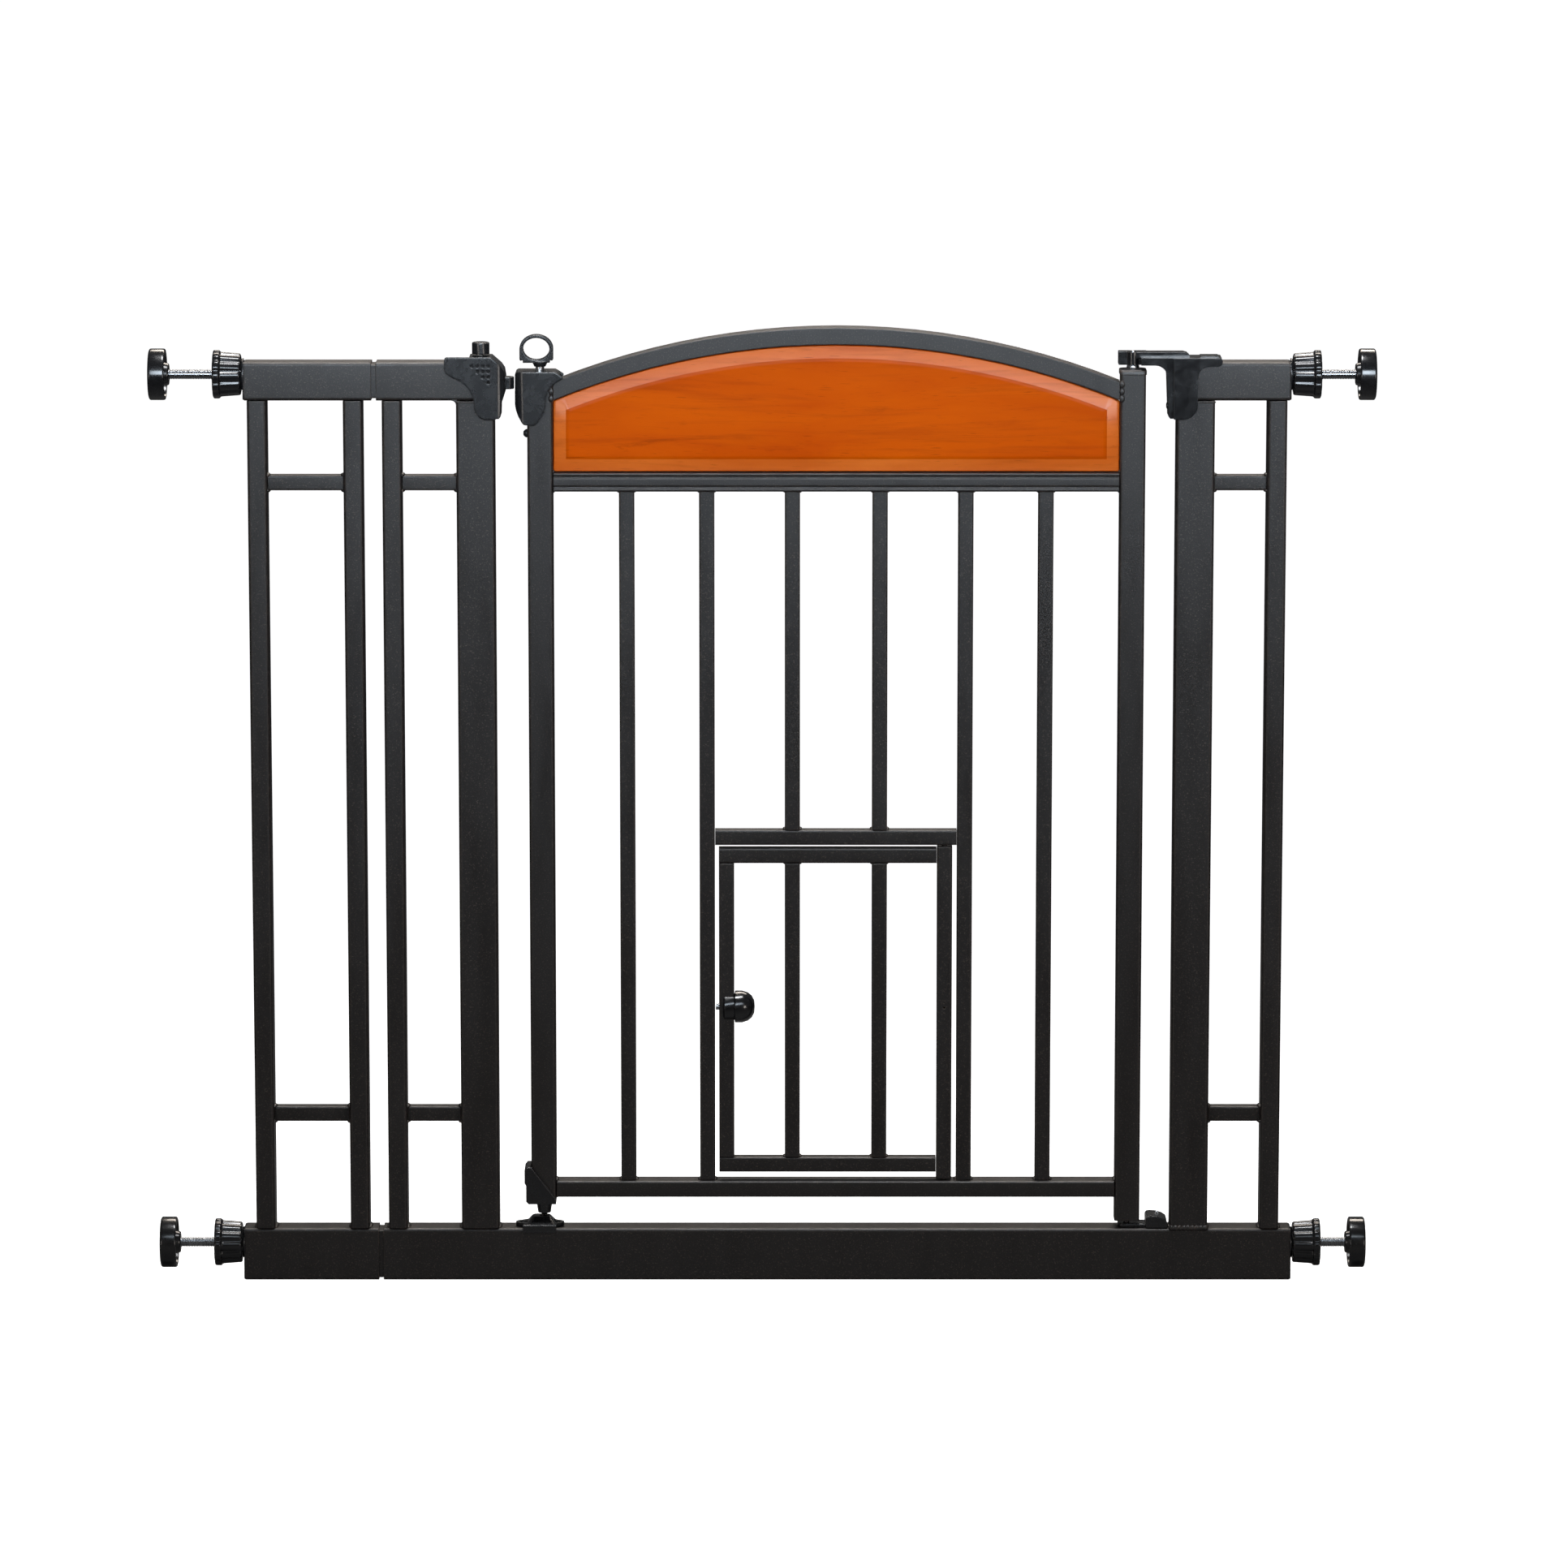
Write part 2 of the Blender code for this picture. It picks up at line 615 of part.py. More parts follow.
def make_latch_housing():
    shield = front_plate("latch_housing", [latch_outline()], -HOUSING_DEPTH, 0.0030 - HOUSING_DEPTH)
    core = front_plate("latch_core", [latch_core_outline()], 0.0006 - HOUSING_DEPTH, HOUSING_DEPTH)
    body = join(shield, core)
    room = FIT_GAP
    over_rail = box(
        "latch_rail_room",
        (-0.27, -HALF_DEPTH - room, TOP_RAIL_LOW - 0.0005),
        (LEFT_RAIL_END + 0.0006, HALF_DEPTH + room, TOP_RAIL_TOP + room),
    )
    over_post = box(
        "latch_post_room",
        (LATCH_POST_X - WIDE_POST / 2 - 0.0006, -HALF_DEPTH - room, 0.66),
        (LATCH_POST_X + WIDE_POST / 2 + 0.0006, HALF_DEPTH + room, TOP_RAIL_LOW + 0.001),
    )
    window = box(
        "latch_bolt_window",
        (-0.215, -BOLT_DEPTH / 2 - room, BOLT_Z - BOLT_HEIGHT / 2 - room),
        (-0.19, BOLT_DEPTH / 2 + room, BOLT_Z + BOLT_HEIGHT / 2 + room),
    )
    well = cylinder("latch_button_well", (BUTTON_X, 0, 0.740), BUTTON_RADIUS + 0.0004, 0.012, "Z", 32)
    corner = round_corner_tool("latch_corner", -0.2008, -HOUSING_DEPTH, 1, 0.0077)
    finish(cut(body, over_rail, over_post, window, well, corner), plastic)


def make_latch_button():
    height = BUTTON_TOP - BUTTON_LOW
    profile = [(0, height), (0.0058, height), (0.0067, height - 0.0004), (BUTTON_RADIUS, height - 0.0012)]
    profile += [(BUTTON_RADIUS, 0), (0, 0)]
    finish(turned("latch_button", profile, 28, (BUTTON_X, 0, BUTTON_LOW), (0, 0, 0)), gloss)


def make_latch_bolt():
    """A flat bolt with a ramped nose, running back into the open end of the top rail."""
    low = BOLT_Z - BOLT_HEIGHT / 2
    high = BOLT_Z + BOLT_HEIGHT / 2
    left = BOLT_TIP - BOLT_LENGTH
    half = BOLT_DEPTH / 2
    loop = [(left, -half), (BOLT_TIP - 0.0030, -half), (BOLT_TIP, -0.0022), (BOLT_TIP, 0.0022)]
    loop += [(BOLT_TIP - 0.0030, half), (left, half)]
    finish(flat_plate("latch_bolt", [loop], low, high), plastic)


def strike_outline(top):
    """The strike seen from the front: an upright left side, and a right side that sweeps in to a narrow foot."""
    loop = [(-0.1935, top - 0.0030), (-0.1935, 0.7015), (-0.1926, 0.6972), (-0.1909, 0.6928), (-0.1880, 0.6876)]
    loop += [(-0.1866, 0.6862), (-0.1852, 0.6858), (-0.1790, 0.6858), (-0.1770, 0.6868), (-0.1735, 0.6916)]
    loop += [(-0.1709, 0.6955), (-0.1698, 0.6985), (-0.1695, 0.7040), (-0.1691, 0.7080), (-0.1678, 0.7120)]
    loop += [(-0.1650, 0.7162), (-0.1608, 0.7196), (-0.1558, 0.7224), (-0.1558, 0.7236), (-0.1600, 0.7264)]
    return loop + [(-0.1622, top), (-0.1912, top), (-0.1928, top - 0.0010)]


def make_strike():
    """The housing on top of the latch stile that receives the bolt."""
    shell = front_plate("strike_housing", [strike_outline(STRIKE_TOP)], -STRIKE_DEPTH, STRIKE_DEPTH)
    half = STILE / 2 + FIT_GAP
    stile_room = box(
        "strike_stile_room",
        (LATCH_STILE_X - half, -half, 0.66),
        (LATCH_STILE_X + half, half, LATCH_STILE_TOP + FIT_GAP),
    )
    arch_room = box("strike_arch_room", (-0.1650, -0.0103, 0.66), (-0.1400, 0.0103, 0.7250))
    pocket = box("strike_pocket", (-0.2000, -0.0062, BOLT_Z - 0.0062), (-0.1862, 0.0062, BOLT_Z + 0.0062))
    rod_hole = cylinder("strike_rod_hole", (LATCH_STILE_X, 0, 0.727), LIFT_ROD_RADIUS + 0.0005, 0.02, "Z", 20)
    corner = round_corner_tool("strike_corner", -0.1935, -STRIKE_DEPTH, -1, 0.0080)
    finish(cut(shell, stile_room, arch_room, pocket, rod_hole, corner), plastic)


def make_stile_boot():
    """The foot of the latch stile, with the nozzle that guides the foot pin."""
    left = -0.1882
    right = LATCH_STILE_X + STILE / 2 - 0.0003
    loop = [(left, 0.0640), (left + 0.002, 0.0620), (right, 0.0620), (right, 0.0662), (-0.1818, 0.0892)]
    loop += [(-0.1835, 0.0918), (-0.1875, 0.0918), (left - 0.0012, 0.0895), (left - 0.0012, 0.0790), (left, 0.0770)]
    boot = front_plate("stile_boot", [loop], -0.0130, 0.0130)
    nozzle = cylinder("boot_nozzle", (LATCH_STILE_X, 0, 0.0580), 0.0051, 0.0100, "Z", 24, 0.0066)
    join(boot, nozzle)
    half = STILE / 2 + FIT_GAP
    room = box("boot_stile_room", (LATCH_STILE_X - half, -half, LATCH_STILE_LOW - FIT_GAP), (-0.15, half, 0.12))
    hole = cylinder("boot_rod_hole", (LATCH_STILE_X, 0, 0.060), LIFT_ROD_RADIUS + 0.0005, 0.03, "Z", 20)
    finish(cut(boot, room, hole), plastic)


def oval(cx, cz, half_width, rise, start, end, steps):
    return [(cx + half_width * x, cz + rise * z) for x, z in arc(0, 0, 1, start, end, steps)]


def make_pull_ring():
    """An upright finger ring with square shoulders, on a neck that holds the lift rod."""
    left = RING_X - RING_HALF_WIDTH
    right = RING_X + RING_HALF_WIDTH
    outer = oval(RING_X, RING_Z, RING_HALF_WIDTH, RING_RISE, 0, 180, 20)
    outer += [(left, 0.7364), (left + 0.0008, 0.7356), (left + 0.0026, 0.7359), (left + 0.0026, 0.7339)]
    outer += [(right - 0.0026, 0.7340), (right - 0.0026, 0.7360), (right - 0.0008, 0.7357), (right, 0.7365)]
    hole = oval(RING_X, RING_Z + 0.0001, RING_HOLE_HALF_WIDTH, RING_HOLE_RISE, 0, 345, 23)
    ring = front_plate("pull_ring", [outer, hole], -RING_DEPTH / 2, RING_DEPTH / 2)
    neck = cylinder("ring_neck", (LATCH_STILE_X, 0, 0.7327), 0.0044, 0.0040, "Z", 28, 0.0064)
    socket = cylinder("ring_socket", (LATCH_STILE_X, 0, 0.7320), LIFT_ROD_RADIUS + 0.0003, 0.0062, "Z", 20)
    finish(cut(join(ring, neck), socket), plastic)


def make_lift_rod():
    """The rod inside the latch stile, from the pull ring to the foot pin."""
    profile = [
        (0, LIFT_ROD_TOP - LIFT_ROD_LOW),
        (LIFT_ROD_RADIUS, LIFT_ROD_TOP - LIFT_ROD_LOW),
        (LIFT_ROD_RADIUS, 0.0016),
        (LIFT_ROD_RADIUS - 0.0014, 0),
        (0, 0),
    ]
    finish(turned("lift_rod", profile, 20, (LATCH_STILE_X, 0, LIFT_ROD_LOW), (0, 0, 0)), zinc)


def frustum(name, low_loop, high_loop, low_z, high_z):
    """A closed shape between two level outlines with the same number of points."""
    shape = bmesh.new()
    rows = [[shape.verts.new((x, y, z)) for x, y in loop] for loop, z in ((low_loop, low_z), (high_loop, high_z))]
    shape.faces.new(rows[0][::-1])
    shape.faces.new(rows[1])
    for i in range(len(low_loop)):
        j = (i + 1) % len(low_loop)
        shape.faces.new([rows[0][i], rows[0][j], rows[1][j], rows[1][i]])
    bmesh.ops.recalc_face_normals(shape, faces=shape.faces[:])
    mesh = bpy.data.meshes.new(name)
    shape.to_mesh(mesh)
    shape.free()
    obj = bpy.data.objects.new(name, mesh)
    gate.objects.link(obj)
    return obj


def make_latch_floor_plate():
    """A plate on the base rail with a screw lobe at each side and a ramped seat for the foot pin."""
    low = BASE_HEIGHT + FIT_GAP
    high = low + 0.0030
    x = LATCH_STILE_X - 0.0035
    loop = arc(x + 0.0131, 0, 0.0062, -75, 75, 8)
    loop += [(x + 0.0080, 0.0110), (x - 0.0080, 0.0110)]
    loop += arc(x - 0.0131, 0, 0.0062, 105, 255, 8)
    loop += [(x - 0.0080, -0.0110), (x + 0.0080, -0.0110)]
    plate = flat_plate("latch_floor_plate", [loop], low, high)
    wide = offset_rect(-0.1885, -0.0146, -0.1642, 0.0106, 0.003)
    narrow = offset_rect(-0.1836, -0.0058, -0.1690, 0.0062, 0.004)
    seat = frustum("floor_seat", wide, narrow, high - 0.0010, 0.0503)
    skirt = box("floor_skirt", (x - 0.0133, -0.0150, 0.0390), (x + 0.0133, -0.0128, high))
    apron = box("floor_apron", (x - 0.0133, -0.0150, low + 0.0002), (x + 0.0133, -0.0060, high - 0.0002))
    join(plate, seat, skirt, apron)
    socket = cylinder("floor_socket", (LATCH_STILE_X, 0, 0.049), LIFT_ROD_RADIUS + 0.0006, 0.02, "Z", 20)
    finish(cut(plate, socket), plastic)


def make_hinge_floor_plate():
    """The lower hinge: a plate with an upright pivot and a stop block behind the stile's foot."""
    low = BASE_HEIGHT + FIT_GAP
    plate = flat_plate("hinge_floor_plate", [offset_rect(0.2830, -0.0080, 0.3210, 0.0080, 0.004)], low, low + 0.0026)
    pivot = cylinder("floor_pivot", (HINGE_STILE_X, 0, 0.0510), HINGE_PIN_RADIUS, 0.0160, "Z", 20)
    block = front_plate("floor_block", [block_outline(low)], -0.0115, 0.0115)
    finish(join(plate, pivot, block), plastic)


def block_outline(low):
    """The stop block seen from the front: upright beside the stile and sloping down to the post."""
    points = [(0.3050, low), (0.3050, 0.0500), (0.3062, 0.0516), (0.3090, 0.0521), (0.3140, 0.0516)]
    return points + [(0.3185, 0.0502), (0.3215, 0.0482), (0.3222, 0.0460), (0.3222, low)]


def offset_rect(low_x, low_y, high_x, high_y, radius):
    loop = rounded_rect(high_x - low_x, high_y - low_y, radius, 3)
    return [(x + (low_x + high_x) / 2, y + (low_y + high_y) / 2) for x, y in loop]


def bracket_cover_outline(top):
    """The front leg: a rounded lower corner on one side and a hollow curve out to the top lip."""
    points = [(0.3213, top), (0.3213, 0.6912), (0.3221, 0.6905), (0.3290, 0.6905)]
    points += arc(0.3288, 0.7020, 0.0115, -85, 0, 7)
    points += [(0.3403, 0.7235)]
    points += arc(0.3485, 0.7240, 0.0080, 180, 92, 6)
    return points + [(0.3574, 0.7324), (0.3590, 0.7338), (0.3596, 0.7360), (0.3592, 0.7376), (0.3580, top)]


def make_hinge_bracket():
    """The upper hinge: an arm over the rail end, and a barrel that carries the pivot pin above the stile."""
    top = 0.7386
    under = TOP_RAIL_TOP + FIT_GAP
    side = HINGE_POST_X - WIDE_POST / 2 - 0.0005
    arm = [(0.2960, top), (0.2960, 0.7326), (0.3070, 0.7326)]
    arm += arc(0.3070, 0.7231, 0.0095, 90, 0, 7)
    arm += [(0.3176, 0.6925), (0.3190, 0.6908), (side, 0.6908), (side, under), (0.3588, under), (0.3588, top)]
    bracket = front_plate("hinge_bracket", [arm], -0.0118, 0.0118)
    block = front_plate("bracket_block", [offset_rect(0.2787, 0.7318, 0.3010, 0.7422, 0.0006)], 0.0004, 0.0114)
    barrel = cylinder("bracket_barrel", (HINGE_STILE_X, 0, 0.7366), 0.0045, 0.0112, "Z", 28)
    flare = cylinder("bracket_flare", (HINGE_STILE_X, 0, 0.7308), 0.0036, 0.0024, "Z", 28, 0.0045)
    cover = front_plate("bracket_cover", [bracket_cover_outline(top)], BRACKET_FRONT, -HALF_DEPTH - FIT_GAP)
    web = box("bracket_web", (0.3215, -0.0140, 0.7354), (0.3578, -0.0100, top - 0.0003))
    edge = box("bracket_edge", (0.3215, -0.0140, 0.6915), (side - 0.0003, -0.0100, top - 0.0003))
    ridge = [(0.2900, top - 0.001), (0.3348, top - 0.001), (0.3340, 0.7398), (0.3322, 0.7414), (0.3293, 0.7422)]
    cap = front_plate("bracket_cap", [ridge + [(0.2900, 0.7422)]], -0.0040, 0.0090)
    pad = box("bracket_pad", (0.3426, -0.0080, top - 0.001), (0.3566, 0.0080, 0.7396))
    pin = cylinder("bracket_pin", (HINGE_STILE_X, 0, 0.7240), HINGE_PIN_RADIUS, 0.0180, "Z", 20)
    finish(join(bracket, block, barrel, flare, cover, web, edge, cap, pad, pin), plastic)


def nut_section(radius, lobes):
    """A fluted outline with rounded lobes."""
    points = []
    per = 6
    for i in range(lobes * per):
        turn = 2 * math.pi * i / (lobes * per)
        reach = radius - 0.0009 * (1 - math.cos(lobes * turn)) / 2 * 1.6
        points.append((reach * math.cos(turn), reach * math.sin(turn)))
    return points


def make_nut(name, side, inner_x, z):
    """A hand wheel on the screw: a fluted body with a wider rim on the pad side."""
    bore = arc(0, 0, ROD_RADIUS + 0.0004, 0, 345, 23)
    rim_length = 0.0050
    body = outline(name, [nut_section(NUT_RADIUS - 0.0012, NUT_LOBES), bore], NUT_LENGTH)
    body.rotation_euler = (0, math.pi / 2, 0)
    body.location = (inner_x + side * NUT_LENGTH / 2, 0, z)
    rim = outline(name + "_rim", [nut_section(NUT_RADIUS + 0.0005, NUT_LOBES), bore], rim_length)
    rim.rotation_euler = (0, math.pi / 2, 0)
    rim.location = (inner_x + side * (NUT_LENGTH + 0.0002 - rim_length / 2), 0, z)
    finish(join(to_mesh(body), to_mesh(rim)), gloss)


def make_pad(name, side, z):
    """A round wall foot: a flat face outside and a dished back with a hub for the screw."""
    profile = [
        (0, 0.0130),
        (PAD_RADIUS - 0.0012, 0.0130),
        (PAD_RADIUS, 0.0118),
        (PAD_RADIUS, 0.0004),
        (PAD_RADIUS - 0.0004, 0),
        (PAD_RADIUS - 0.0022, 0),
        (PAD_RADIUS - 0.0030, 0.0080),
        (0.0105, 0.0090),
        (0.0085, -0.0030),
        (ROD_RADIUS + 0.0003, -0.0030),
        (ROD_RADIUS + 0.0003, 0.0080),
        (0, 0.0080),
    ]
    turn = math.pi / 2 if side > 0 else -math.pi / 2
    finish(turned(name, profile, 32, (side * (PAD_FACE_X - 0.0130), 0, z), (0, turn, 0)), gloss)


def make_rod(name, side, z):
    outer = PAD_FACE_X - 0.0053
    centre = side * (outer - ROD_LENGTH / 2)
    finish(cylinder(name, (centre, 0, z), ROD_RADIUS, ROD_LENGTH, "X", 20), zinc)


def make_mounts():
    places = (
        ("left_top", -1, EXT_TOP_LEFT, TOP_ROD_Z),
        ("left_base", -1, EXT_BASE_LEFT, BASE_ROD_Z),
        ("right_top", 1, RIGHT_RAIL_END, TOP_ROD_Z),
        ("right_base", 1, BASE_RIGHT, BASE_ROD_Z),
    )
    for name, side, rail_end, z in places:
        make_nut(name + "_nut", side, rail_end + side * 0.0030, z)
        make_pad(name + "_pad", side, z)
        make_rod(name + "_rod", side, z)


def make_pivot(name, x, pieces):
    """An empty on a hinge's axis that carries the pieces that turn with it."""
    pivot = bpy.data.objects.new(name, None)
    pivot.location = (x, 0, 0)
    gate.objects.link(pivot)
    bpy.context.view_layer.update()
    for piece in pieces:
        moved = bpy.data.objects[piece]
        moved.parent = pivot
        moved.matrix_parent_inverse = pivot.matrix_world.inverted()
    return pivot


def make_pivots():
    door = ["door_hinge_stile", "door_latch_stile", "door_top_rail", "door_bottom_rail"]
    door += ["door_bar_left", "door_bar_right", "door_knob", "door_bolt"]
    swing = ["latch_stile", "hinge_stile", "arch_rail", "wood_panel", "panel_rail", "gate_bottom_rail"]
    swing += ["cross_rail", "strike_housing", "stile_boot", "pull_ring", "lift_rod"]
    swing += [f"bar_{place}_{side}" for place in ("outer", "middle", "inner") for side in ("left", "right")]
    make_pivot("door_pivot", DOOR_HINGE_X, door)
    make_pivot("gate_pivot", HINGE_STILE_X, swing + ["door_pivot"])


clear_scene()
gate = new_collection("pet_gate")
cutters = new_collection("cutters")
powder = material("powder", (0.035, 0.032, 0.036), 0.35, 0.45)
wood = material("wood", (0.42, 0.10, 0.012), 0.0, 0.45)
plastic = material("plastic", (0.020, 0.020, 0.022), 0.0, 0.35)
gloss = material("gloss", (0.012, 0.012, 0.013), 0.0, 0.18)
zinc = material("zinc", (0.62, 0.62, 0.60), 1.0, 0.28)

make_frame()
make_extension()
make_stiles()
make_arch()
make_wood_panel()
make_panel_rail()
make_gate_rails()
make_gate_bars()
make_door_stiles()
make_door_rails()
make_door_latch()
make_latch_housing()
make_latch_button()
make_latch_bolt()
make_strike()
make_stile_boot()
make_pull_ring()
make_lift_rod()
make_latch_floor_plate()
make_hinge_floor_plate()
make_hinge_bracket()
make_mounts()
make_pivots()
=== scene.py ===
"""Looks of the pet gate: materials for every CAD node, and the pieces that are finer than the CAD."""

import math

import bmesh
import bpy
from mathutils import Matrix, Vector, noise


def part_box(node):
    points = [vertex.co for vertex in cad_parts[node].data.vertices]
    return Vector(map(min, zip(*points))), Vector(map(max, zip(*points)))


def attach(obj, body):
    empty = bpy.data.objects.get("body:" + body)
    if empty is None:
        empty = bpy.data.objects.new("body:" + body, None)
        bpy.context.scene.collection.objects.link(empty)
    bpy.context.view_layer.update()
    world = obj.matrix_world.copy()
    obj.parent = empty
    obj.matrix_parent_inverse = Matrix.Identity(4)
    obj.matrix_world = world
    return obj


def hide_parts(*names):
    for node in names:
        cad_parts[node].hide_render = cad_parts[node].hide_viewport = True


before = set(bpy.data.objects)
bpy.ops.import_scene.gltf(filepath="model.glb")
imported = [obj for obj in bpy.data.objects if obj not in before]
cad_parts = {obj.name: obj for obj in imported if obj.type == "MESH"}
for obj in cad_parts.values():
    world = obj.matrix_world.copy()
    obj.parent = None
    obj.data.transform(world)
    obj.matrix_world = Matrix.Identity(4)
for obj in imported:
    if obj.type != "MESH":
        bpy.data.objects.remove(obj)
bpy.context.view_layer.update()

# Camera, from the photograph's perspective
CAMERA_PLACE = (0.017, -5.906, 1.414)
CAMERA_PITCH = 80.25
CAMERA_LENS = 174.2
SENSOR_WIDTH = 36.0

# Wall mounts
MOUNTS = ("left_top", "left_base", "right_top", "right_base")
RAIL_OF_MOUNT = {
    "left_top": "extension_top_rail", "left_base": "extension_base_rail",
    "right_top": "right_top_rail", "right_base": "base_rail",
}
THREAD_PITCH = 0.00125
THREAD_DEPTH = 0.00062
THREADED_LENGTH = 0.078
NUT_BORE = 0.0043
NUT_FLUTES = 12
CUP_RIBS = 6

# Wood board
BOARD_SIDE_FIT = 0.0022
BOARD_BASE_FIT = 0.0006
BOARD_CORE = 0.0040
BOARD_MARGIN = 0.0115
BOARD_CREST = 0.0016
BOARD_RIM = 0.0007
FIELD_FACING = 0.962

# Latch shield
DIMPLE_PITCH = 0.00427
DIMPLE_RADIUS = 0.00120
DIMPLE_ROWS = 4
DIMPLES_FROM_SIDE = 0.0130
DIMPLES_FROM_TOP = 0.0069

# Finishes of the CAD nodes, and how far their edges are rounded
SATIN_NODES = {
    "latch_housing", "latch_bolt", "latch_button", "strike_housing", "stile_boot", "pull_ring",
    "latch_floor_plate", "hinge_floor_plate",
}
GLOSS_NODES = {"door_knob", "hinge_bracket"}
ZINC_NODES = {"lift_rod", "door_bolt"}
EDGE_ROUND = 0.0005
WIDE_EDGES = {
    "latch_housing": 0.0013, "strike_housing": 0.0013, "hinge_bracket": 0.0008, "stile_boot": 0.0009,
    "pull_ring": 0.0006, "latch_button": 0.0006,
}

# Studio
ROOM_LIGHT = 0.09
BACKDROP_GLOW = 1.05
FLOOR_GLOW = 0.98
FLOOR_REACH = 60.0
WARM = (1.0, 0.92, 0.86)
# name, place, target, size, spread in degrees, power in watts, colour
SOFTBOXES = (
    ("softbox_top", (0.05, -1.2, 1.02), (0.0, 0.0, 0.74), (1.6, 0.35), 60, 3.8, (0.78, 0.89, 1.0)),
    ("softbox_left", (-2.5, -3.7, 0.62), (0.0, 0.0, 0.45), (0.8, 1.1), 180, 17.0, WARM),
    ("softbox_right", (2.6, -3.7, 0.62), (0.0, 0.0, 0.45), (0.8, 1.1), 180, 25.0, WARM),
    ("softbox_above", (0.0, -0.1, 1.9), (0.0, 0.02, 0.7), (0.9, 0.4), 60, 4.5, (0.97, 0.98, 1.0)),
    ("softbox_rear", (0.2, 2.3, 2.7), (0.0, 0.0, 0.45), (2.2, 0.7), 60, 7.0, (1.0, 0.90, 0.80)),
)


# --- shapes -------------------------------------------------------------------


def softened(points, reach, steps=4, closed=False):
    """The path with each corner rounded over by up to reach on both sides."""
    made = []
    count = len(points)
    for i, point in enumerate(points):
        here = Vector(point)
        if not closed and i in (0, count - 1):
            made.append(here)
            continue
        before = Vector(points[i - 1]) - here
        after = Vector(points[(i + 1) % count]) - here
        start = here + before * min(0.45, reach / max(before.length, 1e-9))
        end = here + after * min(0.45, reach / max(after.length, 1e-9))
        for step in range(steps + 1):
            t = step / steps
            made.append(start * (1 - t) ** 2 + here * 2 * t * (1 - t) + end * t**2)
    return made


def revolve(shape, profile, origin, axis, across, segments=64, ring=False, lobes=0):
    """Sweeps a profile of (along, radius, flute depth) round an axis; ring joins its ends."""
    axis = Vector(axis)
    across = Vector(across)
    up = axis.cross(across)
    rows = []
    for along, radius, flute in profile:
        centre = Vector(origin) + axis * along
        if radius < 1e-7:
            rows.append([shape.verts.new(centre)])
            continue
        row = []
        for i in range(segments):
            turn = 2 * math.pi * i / segments
            reach = radius - flute * (0.5 - 0.5 * math.cos(lobes * turn)) ** 3
            row.append(shape.verts.new(centre + (across * math.cos(turn) + up * math.sin(turn)) * reach))
        rows.append(row)
    pairs = list(zip(rows, rows[1:] + rows[:1])) if ring else list(zip(rows, rows[1:]))
    for near, far in pairs:
        for i in range(segments):
            j = (i + 1) % segments
            corners = [near[i % len(near)], near[j % len(near)], far[j % len(far)], far[i % len(far)]]
            unique = list(dict.fromkeys(corners))
            if len(unique) > 2:
                shape.faces.new(unique)


def plate(shape, outline, near_y, far_y):
    """A flat plate between two depths, from an outline in X and Z."""
    thicken(shape, [(x, near_y, z) for x, z in outline], (0, far_y - near_y, 0))


def thicken(shape, loop, along):
    """A prism: a loop of points, carried along a vector."""
    face = shape.faces.new([shape.verts.new(point) for point in loop])
    made = bmesh.ops.extrude_face_region(shape, geom=[face])
    moved = [v for v in made["geom"] if isinstance(v, bmesh.types.BMVert)]
    bmesh.ops.translate(shape, verts=moved, vec=along)


def skin(shape, rows):
    """Joins rows of points into a closed shape with a flat face at each end."""
    for near, far in zip(rows, rows[1:]):
        for k in range(len(near)):
            j = (k + 1) % len(near)
            shape.faces.new([near[k], near[j], far[j], far[k]])
    shape.faces.new(rows[0])
    shape.faces.new(rows[-1])


def blob(shape, centre, radii, seed):
    """One bead of weld: a lumpy ellipsoid."""
    made = bmesh.ops.create_icosphere(shape, subdivisions=2, radius=1.0)["verts"]
    for vert in made:
        swell = 1 + 0.16 * noise.noise(vert.co * 1.7 + Vector((seed * 3.7, seed * 1.3, 0)))
        vert.co = Vector(centre) + Vector([a * b * swell for a, b in zip(vert.co, radii)])


def piece(name, shape, body, mats, sharp=35):
    """Finishes a mesh as a piece that rides on a body."""
    bmesh.ops.recalc_face_normals(shape, faces=shape.faces[:])
    mesh = bpy.data.meshes.new(name)
    shape.to_mesh(mesh)
    shape.free()
    for mat in mats:
        mesh.materials.append(mat)
    mesh.polygons.foreach_set("use_smooth", [True] * len(mesh.polygons))
    mesh.set_sharp_from_angle(angle=math.radians(sharp))
    obj = bpy.data.objects.new(name, mesh)
    bpy.context.scene.collection.objects.link(obj)
    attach(obj, body)
    return obj


def cut_away(obj, label, shape, body, mats=()):
    """Cuts a hidden shape out of an object with a modifier named label."""
    name = f"{obj.name}_{label}"
    mesh = bpy.data.meshes.new(name)
    shape.to_mesh(mesh)
    shape.free()
    for mat in mats:
        mesh.materials.append(mat)
    tool = bpy.data.objects.new(name, mesh)
    tool.hide_render = True
    tool.hide_viewport = True
    bpy.context.scene.collection.objects.link(tool)
    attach(tool, body)
    cut = obj.modifiers.new(label, "BOOLEAN")
    cut.operation = "DIFFERENCE"
    cut.solver = "EXACT"
    cut.object = tool
    if mats:
        cut.material_mode = "TRANSFER"


# --- materials ----------------------------------------------------------------


def node(tree, kind, inputs=None, **settings):
    made = tree.nodes.new(kind)
    for name, value in settings.items():
        setattr(made, name, value)
    for key, value in (inputs or {}).items():
        if isinstance(value, bpy.types.NodeSocket):
            tree.links.new(value, made.inputs[key])
        else:
            made.inputs[key].default_value = value
    return made


def noise_at(tree, vector, scale, detail=3.0, rough=0.5, distortion=0.0):
    inputs = {
        "Vector": vector, "Scale": scale, "Detail": detail, "Roughness": rough, "Distortion": distortion,
    }
    return node(tree, "ShaderNodeTexNoise", inputs).outputs["Fac"]


